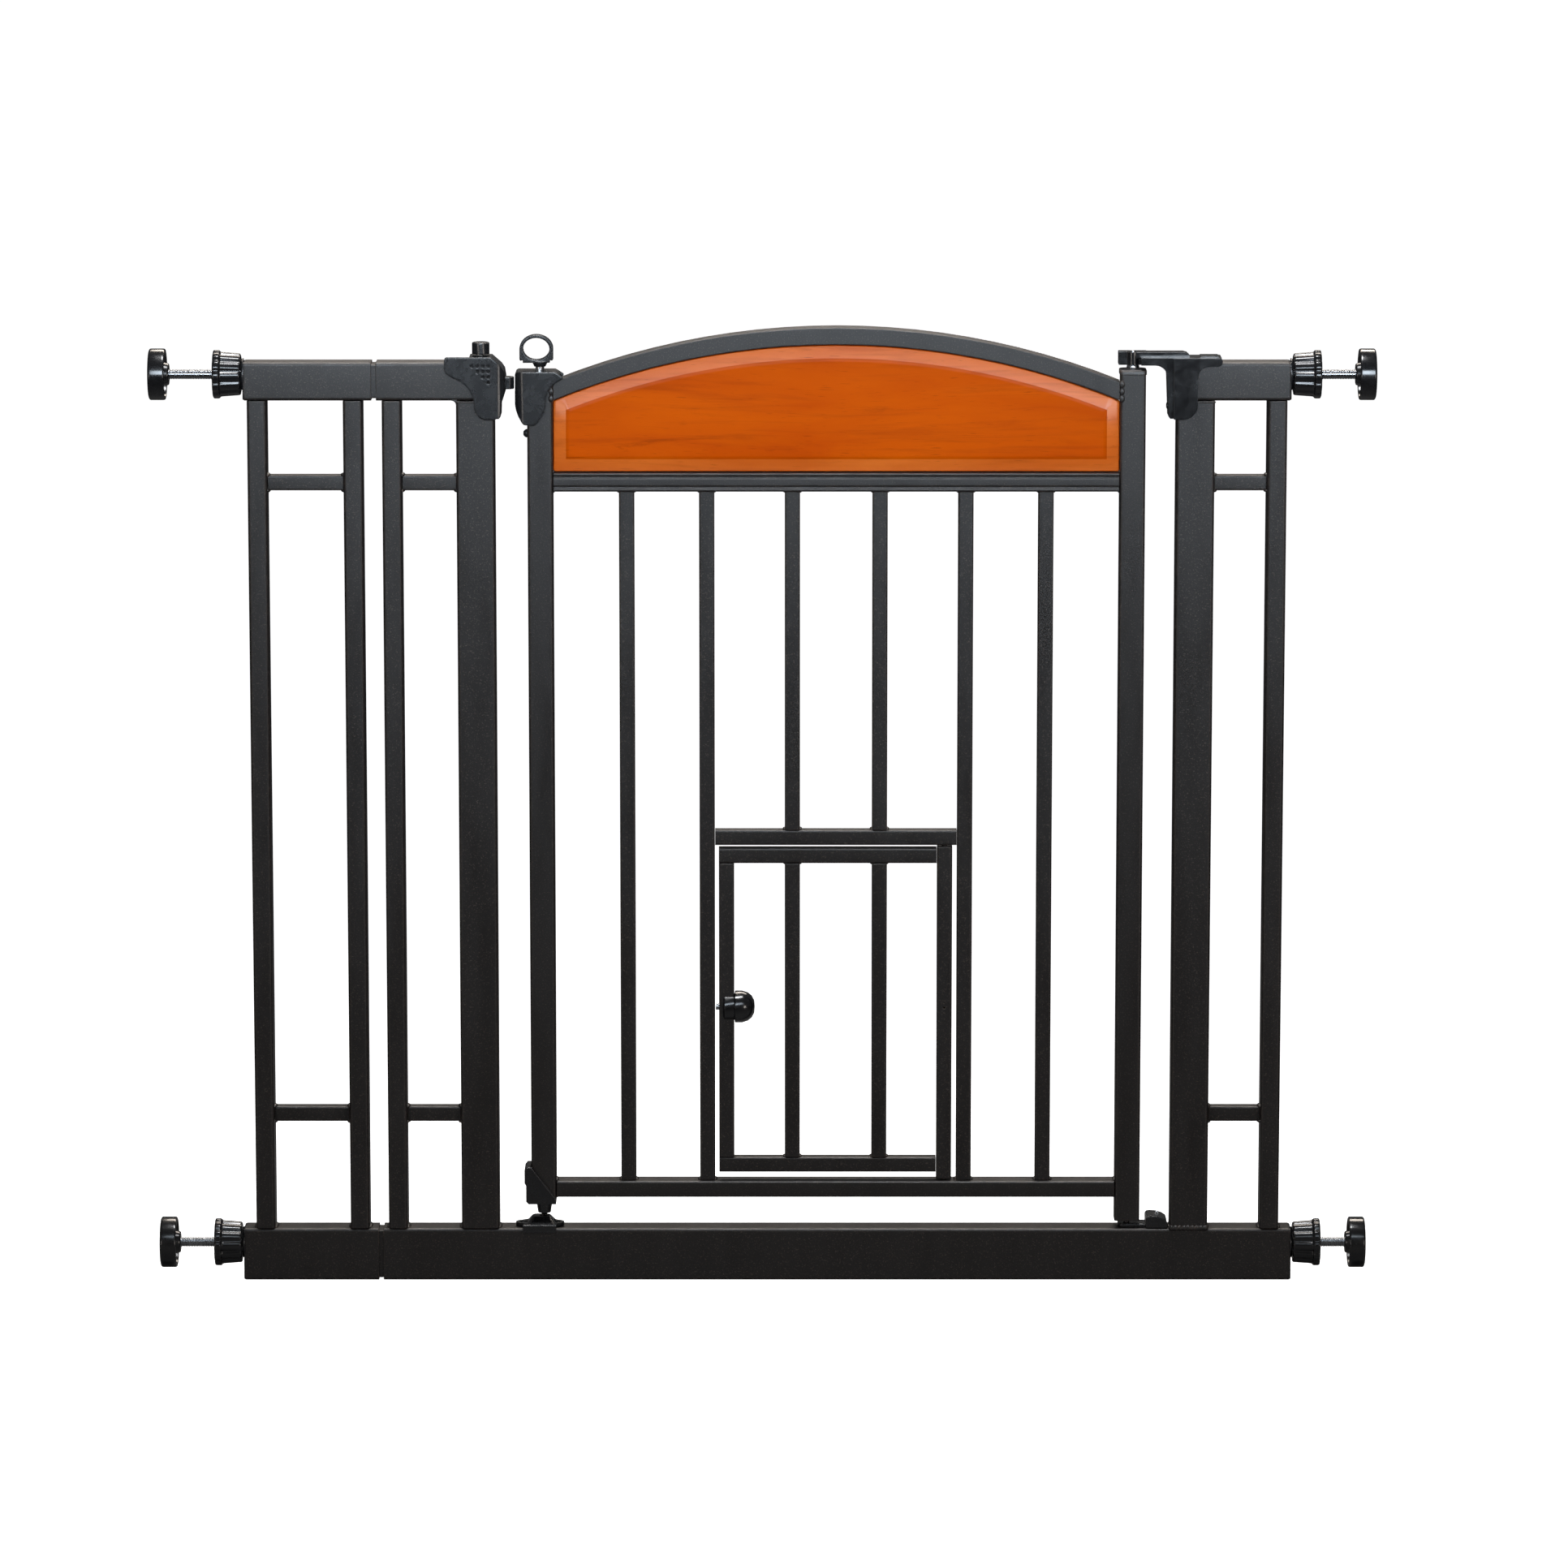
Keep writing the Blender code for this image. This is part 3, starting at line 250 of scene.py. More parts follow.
def ramp(tree, value, low, high, out_low=0.0, out_high=1.0):
    inputs = {"Value": value, "From Min": low, "From Max": high, "To Min": out_low, "To Max": out_high}
    return node(tree, "ShaderNodeMapRange", inputs).outputs["Result"]


def mix(tree, factor, a, b):
    made = node(tree, "ShaderNodeMix", data_type="RGBA")
    for index, value in ((0, factor), (6, a), (7, b)):
        if isinstance(value, bpy.types.NodeSocket):
            tree.links.new(value, made.inputs[index])
        else:
            made.inputs[index].default_value = value if index == 0 else (*value, 1.0)
    return made.outputs[2]


def bump(tree, height, distance, strength=1.0, normal=None):
    inputs = {"Height": height, "Distance": distance, "Strength": strength}
    if normal is not None:
        inputs["Normal"] = normal
    return node(tree, "ShaderNodeBump", inputs).outputs["Normal"]


def edge_wear(tree, radius, place):
    """1 along outer and inner edges, broken up by noise, and 0 on flat faces."""
    soft = node(tree, "ShaderNodeBevel", {"Radius": radius}, samples=4).outputs["Normal"]
    true = node(tree, "ShaderNodeNewGeometry").outputs["True Normal"]
    same = node(tree, "ShaderNodeVectorMath", {0: soft, 1: true}, operation="DOT_PRODUCT").outputs["Value"]
    edge = ramp(tree, same, 0.995, 0.90)
    patchy = ramp(tree, noise_at(tree, place, 90.0, 4.0), 0.42, 0.62)
    return node(tree, "ShaderNodeMath", {0: edge, 1: patchy}, operation="MULTIPLY").outputs[0]


def start_material(name):
    mat = bpy.data.materials.new(name)
    mat.use_nodes = True
    tree = mat.node_tree
    place = node(tree, "ShaderNodeTexCoord").outputs["Object"]
    return mat, tree, tree.nodes["Principled BSDF"], place


def stretched(tree, place, scale):
    return node(tree, "ShaderNodeMapping", {"Vector": place, "Scale": scale}).outputs["Vector"]


def rounded_edges(tree, radius):
    """A surface direction that turns smoothly over each edge, so that a sharp edge catches the light."""
    return node(tree, "ShaderNodeBevel", {"Radius": radius}, samples=6).outputs["Normal"]


def powder_coat():
    """Fine-textured black powder coat with a few brown specks, worn a little lighter along its edges."""
    mat, tree, shader, place = start_material("powder_coat")
    broad = noise_at(tree, place, 14.0, 3.0)
    base = mix(tree, broad, (0.0070, 0.0060, 0.0058), (0.0120, 0.0100, 0.0094))
    fine = noise_at(tree, place, 900.0, 2.0, 0.6)
    speckled = mix(tree, ramp(tree, fine, 0.58, 0.70, 0.0, 0.60), base, (0.085, 0.066, 0.056))
    worn = mix(tree, edge_wear(tree, 0.0009, place), speckled, (0.075, 0.052, 0.040))
    tree.links.new(worn, shader.inputs["Base Color"])
    scuffs = noise_at(tree, stretched(tree, place, (60.0, 60.0, 9.0)), 1.0, 5.0, 0.6)
    rough = ramp(tree, scuffs, 0.3, 0.7, 0.36, 0.50)
    tree.links.new(rough, shader.inputs["Roughness"])
    peel = bump(tree, noise_at(tree, place, 420.0, 2.0), 0.00012, 0.35, rounded_edges(tree, 0.0009))
    tree.links.new(bump(tree, fine, 0.00010, 0.55, peel), shader.inputs["Normal"])
    shader.inputs["Specular IOR Level"].default_value = 0.46
    return mat


def moulded_plastic(name, low, high, rough_low, rough_high, grain, coat, edge):
    """Black moulded plastic: faint flow streaks, a fine mould grain and handling marks."""
    mat, tree, shader, place = start_material(name)
    flow = noise_at(tree, stretched(tree, place, (30.0, 30.0, 90.0)), 1.0, 4.0, 0.6)
    dust = ramp(tree, noise_at(tree, place, 700.0, 2.0), 0.66, 0.74, 0.0, 0.35)
    base = mix(tree, flow, low, high)
    dusty = mix(tree, dust, base, (0.035, 0.034, 0.036))
    worn = mix(tree, edge_wear(tree, 0.0005, place), dusty, (0.030, 0.030, 0.033))
    tree.links.new(worn, shader.inputs["Base Color"])
    marks = noise_at(tree, place, 120.0, 5.0, 0.65)
    tree.links.new(ramp(tree, marks, 0.35, 0.7, rough_low, rough_high), shader.inputs["Roughness"])
    skin = bump(tree, noise_at(tree, place, 1500.0, 2.0), 0.00006, grain, rounded_edges(tree, edge))
    tree.links.new(bump(tree, flow, 0.0001, grain * 0.5, skin), shader.inputs["Normal"])
    shader.inputs["Coat Weight"].default_value = coat
    shader.inputs["Coat Roughness"].default_value = 0.06
    return mat


def zinc_plate():
    """Bright zinc plating with fine lathe lines and slight clouding."""
    mat, tree, shader, place = start_material("zinc_plate")
    cloud = noise_at(tree, place, 160.0, 4.0)
    tree.links.new(mix(tree, cloud, (0.30, 0.31, 0.33), (0.46, 0.47, 0.48)), shader.inputs["Base Color"])
    lines = noise_at(tree, stretched(tree, place, (2600.0, 120.0, 120.0)), 1.0, 2.0)
    tree.links.new(ramp(tree, lines, 0.3, 0.7, 0.16, 0.34), shader.inputs["Roughness"])
    tree.links.new(bump(tree, lines, 0.00004, 0.4), shader.inputs["Normal"])
    shader.inputs["Metallic"].default_value = 1.0
    return mat


def stained_wood(name, dark, mid, light, coat):
    """Stained rubberwood under a satin lacquer: long grain along X, short pores and darker bands."""
    mat, tree, shader, place = start_material(name)
    warp = noise_at(tree, stretched(tree, place, (3.0, 3.0, 14.0)), 1.0, 2.0)
    bend = node(tree, "ShaderNodeCombineXYZ", {"Z": ramp(tree, warp, 0.0, 1.0, -0.012, 0.012)}).outputs[0]
    along = node(tree, "ShaderNodeVectorMath", {0: place, 1: bend}, operation="ADD").outputs[0]
    grain = noise_at(tree, stretched(tree, along, (7.0, 60.0, 150.0)), 1.0, 6.0, 0.62, 0.4)
    cloud = noise_at(tree, stretched(tree, along, (6.0, 20.0, 26.0)), 1.0, 4.0, 0.55, 0.6)
    base = mix(tree, ramp(tree, cloud, 0.34, 0.66), mid, light)
    lined = mix(tree, ramp(tree, grain, 0.50, 0.74, 0.0, 0.55), base, dark)
    pores = noise_at(tree, stretched(tree, along, (70.0, 500.0, 1500.0)), 1.0, 2.0, 0.5)
    pored = mix(tree, ramp(tree, pores, 0.66, 0.74, 0.0, 0.45), lined, [c * 0.45 for c in dark])
    bands = noise_at(tree, stretched(tree, along, (9.0, 30.0, 75.0)), 1.0, 7.0, 0.7, 1.2)
    where = ramp(tree, noise_at(tree, stretched(tree, place, (5.0, 5.0, 16.0)), 1.0, 1.0), 0.52, 0.66)
    strong = ramp(tree, bands, 0.55, 0.68, 0.0, 0.60)
    streak = node(tree, "ShaderNodeMath", {0: strong, 1: where}, operation="MULTIPLY")
    stained = mix(tree, streak.outputs[0], pored, [c * 0.36 for c in dark])
    tree.links.new(stained, shader.inputs["Base Color"])
    tree.links.new(ramp(tree, grain, 0.3, 0.8, 0.30, 0.44), shader.inputs["Roughness"])
    ridges = bump(tree, pores, 0.00012, -0.35)
    tree.links.new(bump(tree, grain, 0.00025, 0.25, ridges), shader.inputs["Normal"])
    shader.inputs["Specular IOR Level"].default_value = 0.03
    shader.inputs["Coat Weight"].default_value = coat
    shader.inputs["Coat Roughness"].default_value = 0.22
    return mat


powder = powder_coat()
satin = moulded_plastic(
    "satin_plastic", (0.0060, 0.0062, 0.0070), (0.0110, 0.0112, 0.0125), 0.24, 0.31, 0.30, 0.15, 0.0016
)
gloss = moulded_plastic(
    "gloss_plastic", (0.0035, 0.0035, 0.0040), (0.0070, 0.0070, 0.0078), 0.16, 0.28, 0.10, 0.20, 0.0005
)
# Near-black plastic for the inside of recesses: painted shade, standing in for the shade in the dimples and
# screw holes.
shadowed = moulded_plastic(
    "painted_shade_recess_plastic", (0.0010, 0.0010, 0.0011), (0.0016, 0.0016, 0.0018), 0.60, 0.70, 0.10, 0.0, 0.0005
)
zinc = zinc_plate()
wood_field = stained_wood(
    "stained_wood", (0.25, 0.030, 0.0001), (0.43, 0.054, 0.0001), (0.51, 0.077, 0.0003), 0.02
)
# The bevel copy of the stain is lighter and glossier than the field: its lighter colour is painted light,
# for the side lamps catching the sloping margin.
painted_light_bevel_wood = stained_wood(
    "stained_wood_painted_light_bevel", (0.32, 0.048, 0.0030), (0.56, 0.100, 0.0090), (0.68, 0.150, 0.0180), 0.8
)


# --- CAD nodes ----------------------------------------------------------------


def finish_of(name):
    if name in SATIN_NODES:
        return satin
    if name in GLOSS_NODES or name.endswith(("_nut", "_pad")):
        return gloss
    if name in ZINC_NODES or name.endswith("_rod"):
        return zinc
    if name == "wood_panel":
        return wood_field
    return powder


def soften_node(obj, width):
    """Rounds the sharp edges of a CAD node with modifiers."""
    weld = obj.modifiers.new("weld", "WELD")
    weld.merge_threshold = 0.00001
    edges = obj.modifiers.new("edges", "BEVEL")
    edges.width = width
    edges.segments = 3
    edges.limit_method = "ANGLE"
    edges.angle_limit = math.radians(38)
    edges.use_clamp_overlap = True


def dress_nodes():
    """Gives every CAD node its finish, its rounded edges and smooth shading."""
    for name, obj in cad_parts.items():
        for attribute in ("custom_normal", "sharp_edge", "sharp_face"):
            found = obj.data.attributes.get(attribute)
            if found:
                obj.data.attributes.remove(found)
        mesh = obj.data
        mesh.polygons.foreach_set("use_smooth", [True] * len(mesh.polygons))
        mesh.materials.clear()
        mesh.materials.append(finish_of(name))
        soften_node(obj, WIDE_EDGES.get(name, EDGE_ROUND))
        shade = obj.modifiers.new("shade", "WEIGHTED_NORMAL")
        shade.keep_sharp = True
        shade.weight = 100


# --- wall mounts --------------------------------------------------------------


def make_threaded_rod(name):
    """A zinc-plated screw whose thread is a real helix along the stretch that can show."""
    low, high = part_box(name + "_rod")
    side = -1 if low.x < 0 else 1
    radius = (high.z - low.z) / 2
    centre_z = (high.z + low.z) / 2
    outer = max(abs(low.x), abs(high.x))
    inner = min(abs(low.x), abs(high.x))
    shape = bmesh.new()
    steps = 24
    turns = int(THREADED_LENGTH / THREAD_PITCH)
    ledge = ((0.0, radius - THREAD_DEPTH), (0.30, radius - THREAD_DEPTH), (0.60, radius), (0.76, radius))
    columns = []
    for i in range(steps * (turns + 1) + 1):
        turn = 2 * math.pi * i / steps
        column = []
        for offset, reach in ledge:
            x = outer - 0.0006 - (i / steps + offset) * THREAD_PITCH
            place = (side * x, reach * math.cos(turn), centre_z + reach * math.sin(turn))
            column.append(shape.verts.new(place))
        columns.append(column)
    for i in range(steps * turns):
        near = columns[i] + [columns[i + steps][0]]
        far = columns[i + 1] + [columns[i + 1 + steps][0]]
        for k in range(4):
            shape.faces.new([near[k], far[k], far[k + 1], near[k + 1]])
    first = [columns[i][0] for i in range(steps + 1)] + [columns[0][k] for k in (3, 2, 1)]
    tip = shape.verts.new((side * outer, 0, centre_z))
    for a, b in zip(first, first[1:] + first[:1]):
        shape.faces.new([a, b, tip])
    last = columns[steps * turns : steps * (turns + 1) + 1]
    edge = [column[0] for column in last] + [last[0][k] for k in (3, 2, 1)]
    shank = [
        shape.verts.new((side * inner, v.co.y * 0.92, centre_z + (v.co.z - centre_z) * 0.92)) for v in edge
    ]
    for k in range(len(edge)):
        j = (k + 1) % len(edge)
        shape.faces.new([edge[k], edge[j], shank[j], shank[k]])
    shape.faces.new(shank)
    bmesh.ops.delete(shape, geom=[v for v in shape.verts if not v.link_faces], context="VERTS")
    obj = piece(name + "_screw", shape, name + "_screw", [zinc], 28)
    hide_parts(name + "_rod")


def make_hand_nut(name):
    """A fluted hand wheel: a tapered grip, a step, and a wider scalloped rim on the pad side."""
    low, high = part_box(name + "_nut")
    side = -1 if low.x < 0 else 1
    rail_side = low.x if side > 0 else high.x
    length = high.x - low.x
    radius = (high.z - low.z) / 2
    corners = [
        (0.0000, NUT_BORE, 0), (0.0000, radius - 0.0034, 0.0006), (0.0009, radius - 0.0026, 0.0012),
        (length - 0.0072, radius - 0.0016, 0.0016), (length - 0.0060, radius - 0.0014, 0.0015),
        (length - 0.0050, radius, 0.0012), (length - 0.0006, radius, 0.0012),
        (length, radius - 0.0010, 0.0010),
        (length, radius - 0.0042, 0), (length - 0.0026, radius - 0.0056, 0), (length - 0.0026, 0.0078, 0),
        (length - 0.0002, 0.0070, 0), (length - 0.0002, NUT_BORE, 0),
    ]
    shape = bmesh.new()
    profile = softened(corners, 0.0009, 3, closed=True)
    centre = (rail_side, 0, (low.z + high.z) / 2)
    revolve(shape, profile, centre, (side, 0, 0), (0, 0, 1), 144, ring=True, lobes=NUT_FLUTES)
    obj = piece(name + "_hand_nut", shape, name + "_nut", [gloss], 50)
    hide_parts(name + "_nut")


def make_wall_cup(name):
    """A wall foot: a rounded cup with a hollow back, a hub for the screw and ribs between hub and rim."""
    low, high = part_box(name + "_pad")
    side = -1 if low.x < 0 else 1
    wall_face = high.x if side > 0 else low.x
    radius = (high.z - low.z) / 2
    centre_z = (high.z + low.z) / 2
    corners = [
        (0.0000, 0.0, 0), (0.0000, radius - 0.0016, 0), (0.0010, radius, 0), (0.0120, radius, 0),
        (0.0130, radius - 0.0006, 0), (0.0130, radius - 0.0022, 0), (0.0052, radius - 0.0032, 0),
        (0.0042, 0.0112, 0), (0.0150, 0.0086, 0), (0.0158, 0.0080, 0), (0.0158, 0.0043, 0),
        (0.0060, 0.0043, 0),
        (0.0060, 0.0, 0),
    ]
    shape = bmesh.new()
    profile = softened(corners, 0.0008, 3)
    revolve(shape, profile, (wall_face, 0, centre_z), (-side, 0, 0), (0, 0, 1), 96)
    for k in range(CUP_RIBS):
        turn = Matrix.Rotation(math.radians(360 / CUP_RIBS * k + 30), 4, "X")
        made = bmesh.ops.create_cube(shape, size=1.0)["verts"]
        for vert in made:
            depth = 0.0085 if vert.co.z < 0 else 0.0072
            x = wall_face - side * (0.0030 + depth * (vert.co.x + 0.5))
            vert.co = Vector((x, vert.co.y * 0.0014, 0.0095 + (vert.co.z + 0.5) * (radius - 0.0119)))
            vert.co = turn @ vert.co + Vector((0, 0, centre_z))
    for vert in shape.verts:
        vert.co.z = min(max(vert.co.z, low.z), high.z)
    obj = piece(name + "_wall_cup", shape, name + "_screw", [gloss], 40)
    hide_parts(name + "_pad")


def make_rail_plug(name):
    """The plastic end plug of a rail, with the collar that the screw runs through."""
    rail_low, rail_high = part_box(RAIL_OF_MOUNT[name])
    rod_low, rod_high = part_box(name + "_rod")
    side = -1 if rod_low.x < 0 else 1
    end = rail_low.x if side < 0 else rail_high.x
    centre_z = (rod_low.z + rod_high.z) / 2
    shape = bmesh.new()
    half_y = rail_high.y - 0.0004
    corners = [
        (-half_y, rail_low.z + 0.0004), (half_y, rail_low.z + 0.0004),
        (half_y, rail_high.z - 0.0004), (-half_y, rail_high.z - 0.0004),
    ]
    loop = softened(corners, 0.0022, 4, closed=True)
    rows = []
    for x, shrink in ((0.0, 0.0), (0.0007, 0.0), (0.0012, 0.0005)):
        row = []
        for point in loop:
            y = point.x * (1 - shrink / half_y)
            z = point.y + (shrink if point.y < centre_z else -shrink)
            row.append(shape.verts.new((end + side * x, y, z)))
        rows.append(row)
    skin(shape, rows)
    corners = [(0.0008, 0.0044, 0), (0.0008, 0.0128, 0), (0.0027, 0.0120, 0), (0.0027, 0.0044, 0)]
    collar = softened(corners, 0.0004, 2, closed=True)
    revolve(shape, collar, (end, 0, centre_z), (side, 0, 0), (0, 0, 1), 48, ring=True)
    piece(name + "_rail_plug", shape, "frame", [satin], 40)


# --- wood panel ---------------------------------------------------------------


def make_wood_panel():
    """A board with an arched top, a mitred bevelled margin and a raised field on each face."""
    low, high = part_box("wood_panel")
    middle = (low.x + high.x) / 2
    half = (high.x - low.x) / 2
    rise = high.z - edge_height(low)
    radius = (half**2 + rise**2) / (2 * rise)
    centre_z = high.z - radius
    half += BOARD_SIDE_FIT
    base_z = low.z - BOARD_BASE_FIT
    reach = math.asin(half / radius)
    outline = [(middle + half, base_z), (middle - half, base_z)]
    for k in range(49):
        turn = -reach + 2 * reach * k / 48
        outline.append((middle + radius * math.sin(turn), centre_z + radius * math.cos(turn)))
    outline = outline[::-1]
    shape = bmesh.new()
    plate(shape, outline, -BOARD_CORE, BOARD_CORE)
    for side in (-1, 1):
        bmesh.ops.recalc_face_normals(shape, faces=shape.faces[:])
        flat = [f for f in shape.faces if abs(f.calc_center_median().y - side * BOARD_CORE) < 1e-5]
        rise = high.y - BOARD_CORE
        bmesh.ops.inset_region(shape, faces=flat, thickness=BOARD_MARGIN, depth=rise, use_even_offset=True)
    shape.normal_update()
    ridge = [e for e in shape.edges if e.is_manifold and e.calc_face_angle(0) > math.radians(8)]
    crest = [e for e in ridge if abs(abs((e.verts[0].co.y + e.verts[1].co.y) / 2) - high.y) < 1e-4]
    rounding = {"profile": 0.5, "affect": "EDGES", "clamp_overlap": True}
    bmesh.ops.bevel(shape, geom=crest, offset=BOARD_CREST, segments=4, **rounding)
    shape.normal_update()
    # Faces turned to the front take the field stain; the sloping margin takes the lighter copy, whose extra
    # lightness is painted light.
    for face in shape.faces:
        face.material_index = 0 if abs(face.normal.y) > FIELD_FACING else 1
    rim = [e for e in shape.edges if e.is_manifold and e.calc_face_angle(0) > math.radians(50)]
    bmesh.ops.bevel(shape, geom=rim, offset=BOARD_RIM, segments=2, **rounding)
    board = piece("wood_board", shape, "gate", [wood_field, painted_light_bevel_wood], 60)
    shade = board.modifiers.new("shade", "WEIGHTED_NORMAL")
    shade.weight = 100
    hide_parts("wood_panel")


def edge_height(low):
    """Height of the board's top corner, from the CAD solid."""
    points = [v.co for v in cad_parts["wood_panel"].data.vertices]
    return max(p.z for p in points if p.x < low.x + 0.0005)


# --- welds --------------------------------------------------------------------


def corner_welds(shape, across, posts, seed, swell=0.0019):
    """Small fillets where an upright meets a level bar, on both sides of the upright."""
    for name in posts:
        low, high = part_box(name)
        for node_name, from_top in across:
            bar_low, bar_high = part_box(node_name)
            z = bar_high.z if from_top else bar_low.z
            for x in (low.x, high.x):
                seed += 1
                blob(shape, (x, 0, z), (swell, (high.y - low.y) * 0.42, swell), seed)


def make_frame_welds():
    """The weld beads of the frame: at the rungs, at the feet of the posts and along two visible seams."""
    shape = bmesh.new()
    seed = 0
    rungs = (
        ("left_rung_upper", "left_post", "latch_post"), ("left_rung_lower", "left_post", "latch_post"),
        ("right_rung_upper", "hinge_post", "right_post"), ("right_rung_lower", "hinge_post", "right_post"),
        ("extension_rung_upper", "extension_outer_post", "extension_inner_post"),
        ("extension_rung_lower", "extension_outer_post", "extension_inner_post"),
    )
    for rung, left, right in rungs:
        low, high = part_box(rung)
        for x in (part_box(left)[1].x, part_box(right)[0].x):
            for z in (low.z, high.z):
                seed += 1
                blob(shape, (x, -0.0015, z), (0.0026, 0.0062, 0.0018), seed)
    feet = (
        "latch_post", "hinge_post", "left_post", "right_post",
        "extension_outer_post", "extension_inner_post",
    )
    for name in feet:
        low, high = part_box(name)
        rail = "extension_base_rail" if name.startswith("extension") else "base_rail"
        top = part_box(rail)[1].z
        for x in (low.x, high.x):
            seed += 1
            blob(shape, (x, 0, top), (0.0021, 0.0100, 0.0017), seed)
    low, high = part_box("hinge_post")
    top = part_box("base_rail")[1].z
    for k in range(9):
        x = low.x + (high.x - low.x) * (k + 0.5) / 9
        seed += 1
        blob(shape, (x, low.y + 0.0004, top + 0.0006), (0.0026, 0.0024, 0.0026), seed)
    for name, rail in (("latch_post", "left_top_rail"), ("hinge_post", "right_top_rail")):
        low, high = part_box(name)
        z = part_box(rail)[0].z
        for k in range(14):
            x = low.x + (high.x - low.x) * (k + 0.5) / 14
            seed += 1
            blob(shape, (x, low.y + 0.0002, z - 0.0010), (0.0017, 0.0006, 0.0009), seed)
    piece("frame_welds", shape, "frame", [powder], 80)


def make_corner_fillet():
    """The rounded inner corner where the left top rail meets the latch post."""
    post_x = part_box("latch_post")[0].x
    rail_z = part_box("left_top_rail")[0].z
    near_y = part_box("latch_post")[0].y
    reach = 0.0034
    outline = [(post_x + 0.0010, rail_z + 0.0010), (post_x - reach, rail_z + 0.0010)]
    for k in range(9):
        turn = math.radians(90 - 90 * k / 8)
        outline.append((post_x - reach + reach * math.cos(turn), rail_z - reach + reach * math.sin(turn)))
    outline.append((post_x + 0.0010, rail_z - reach))
    shape = bmesh.new()
    plate(shape, outline, near_y + 0.0008, -near_y - 0.0008)
    piece("corner_fillet", shape, "frame", [powder], 50)


def make_gate_welds():
    """The weld beads of the gate: at its bars, at the ends of its rails and at the ends of its arch."""
    shape = bmesh.new()
    bars = [f"bar_{place}_{side}" for place in ("outer", "middle", "inner") for side in ("left", "right")]
    tall = [name for name in bars if "inner" not in name]
    inner = [name for name in bars if "inner" in name]
    corner_welds(shape, (("panel_rail", False),), bars, 100)
    corner_welds(shape, (("gate_bottom_rail", True),), tall, 200)
    corner_welds(shape, (("cross_rail", True),), inner, 300)
    for stile, inward in (("latch_stile", 1), ("hinge_stile", -1)):
        low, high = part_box(stile)
        x = high.x if inward > 0 else low.x
        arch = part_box("arch_rail")[0].z
        for k in range(3):
            z = arch + 0.0010 + 0.0056 * k
            blob(shape, (x - inward * 0.0012, low.y + 0.0001, z), (0.0023, 0.0010, 0.0031), 600 + k + inward)
        for k, name in enumerate(("gate_bottom_rail", "panel_rail")):
            bar_low, bar_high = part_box(name)
            blob(shape, (x, 0, bar_low.z), (0.0018, 0.0070, 0.0018), 400 + k + inward)
            blob(shape, (x, 0, bar_high.z), (0.0018, 0.0070, 0.0018), 410 + k + inward)
    piece("gate_welds", shape, "gate", [powder], 80)


def make_door_welds():
    shape = bmesh.new()
    bars = ("door_bar_left", "door_bar_right")
    corner_welds(shape, (("door_top_rail", False), ("door_bottom_rail", True)), bars, 500, 0.0016)
    piece("pet_door_welds", shape, "pet_door", [powder], 80)


# --- small fittings -----------------------------------------------------------


def hollow_out(node_name, shape, body):
    """Cuts a recess out of a CAD node, lined with near-black painted shade, after its edge rounding and
    before its shading.
    """
    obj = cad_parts[node_name]
    cut_away(obj, "hollows", shape, body, [shadowed])
    obj.modifiers.move(len(obj.modifiers) - 1, 2)


def make_grip_dimples():
    """The triangle of ten dimples on the latch shield, lined with painted shade."""
    low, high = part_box("latch_housing")
    shape = bmesh.new()
    for row in range(DIMPLE_ROWS):
        for column in range(DIMPLE_ROWS - row):
            x = high.x - DIMPLES_FROM_SIDE - column * DIMPLE_PITCH
            z = high.z - DIMPLES_FROM_TOP - row * DIMPLE_PITCH
            made = bmesh.ops.create_icosphere(shape, subdivisions=3, radius=DIMPLE_RADIUS)["verts"]
            bmesh.ops.translate(shape, verts=made, vec=(x, low.y + 0.0001, z))
    hollow_out("latch_housing", shape, "frame")


def screw_head(name, body, centre, axis, across, radius, rise, mat):
    """A pan head with a cross recess."""
    shape = bmesh.new()
    corners = [
        (0.0, 0.0, 0), (0.0, radius, 0), (rise * 0.45, radius, 0), (rise, radius * 0.62, 0), (rise, 0.0, 0),
    ]
    profile = softened(corners, radius * 0.30, 4)
    revolve(shape, profile, centre, axis, across, 40)
    bmesh.ops.remove_doubles(shape, verts=shape.verts[:], dist=0.000001)
    head = piece(name, shape, body, [mat], 40)
    axis = Vector(axis)
    across = Vector(across)
    beside = axis.cross(across)
    floor = Vector(centre) + axis * rise * 0.5
    reach = radius * 0.55
    half = radius * 0.14
    arm = [(half, half), (half, reach), (-half, reach)]
    cross = []
    for _ in range(4):
        cross += arm
        arm = [(-v, u) for u, v in arm]
    tool_shape = bmesh.new()
    thicken(tool_shape, [floor + across * u + beside * v for u, v in cross], axis * rise)
    bmesh.ops.recalc_face_normals(tool_shape, faces=tool_shape.faces[:])
    cut_away(head, "recess", tool_shape, body)


def make_floor_screws():
    """Countersunk holes in the lobes of the latch's floor plate, lined with painted shade, with a screw in
    each.
    """
    low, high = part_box("latch_floor_plate")
    rail_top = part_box("base_rail")[1].z
    plate_top = rail_top + 0.0033
    shape = bmesh.new()
    centres = (low.x + 0.0062, high.x - 0.0062)
    for x in centres:
        made = bmesh.ops.create_cone(
            shape, cap_ends=True, segments=32, radius1=0.0026, radius2=0.0042, depth=0.0036
        )["verts"]
        bmesh.ops.translate(shape, verts=made, vec=(x, 0, plate_top))
    hollow_out("latch_floor_plate", shape, "frame")
    for label, x in zip(("left", "right"), centres):
        place = (x, 0, plate_top - 0.0018)
        name = "floor_screw_" + label
        screw_head(name, "frame", place, (0, 0, 1), (1, 0, 0), 0.0026, 0.0010, satin)


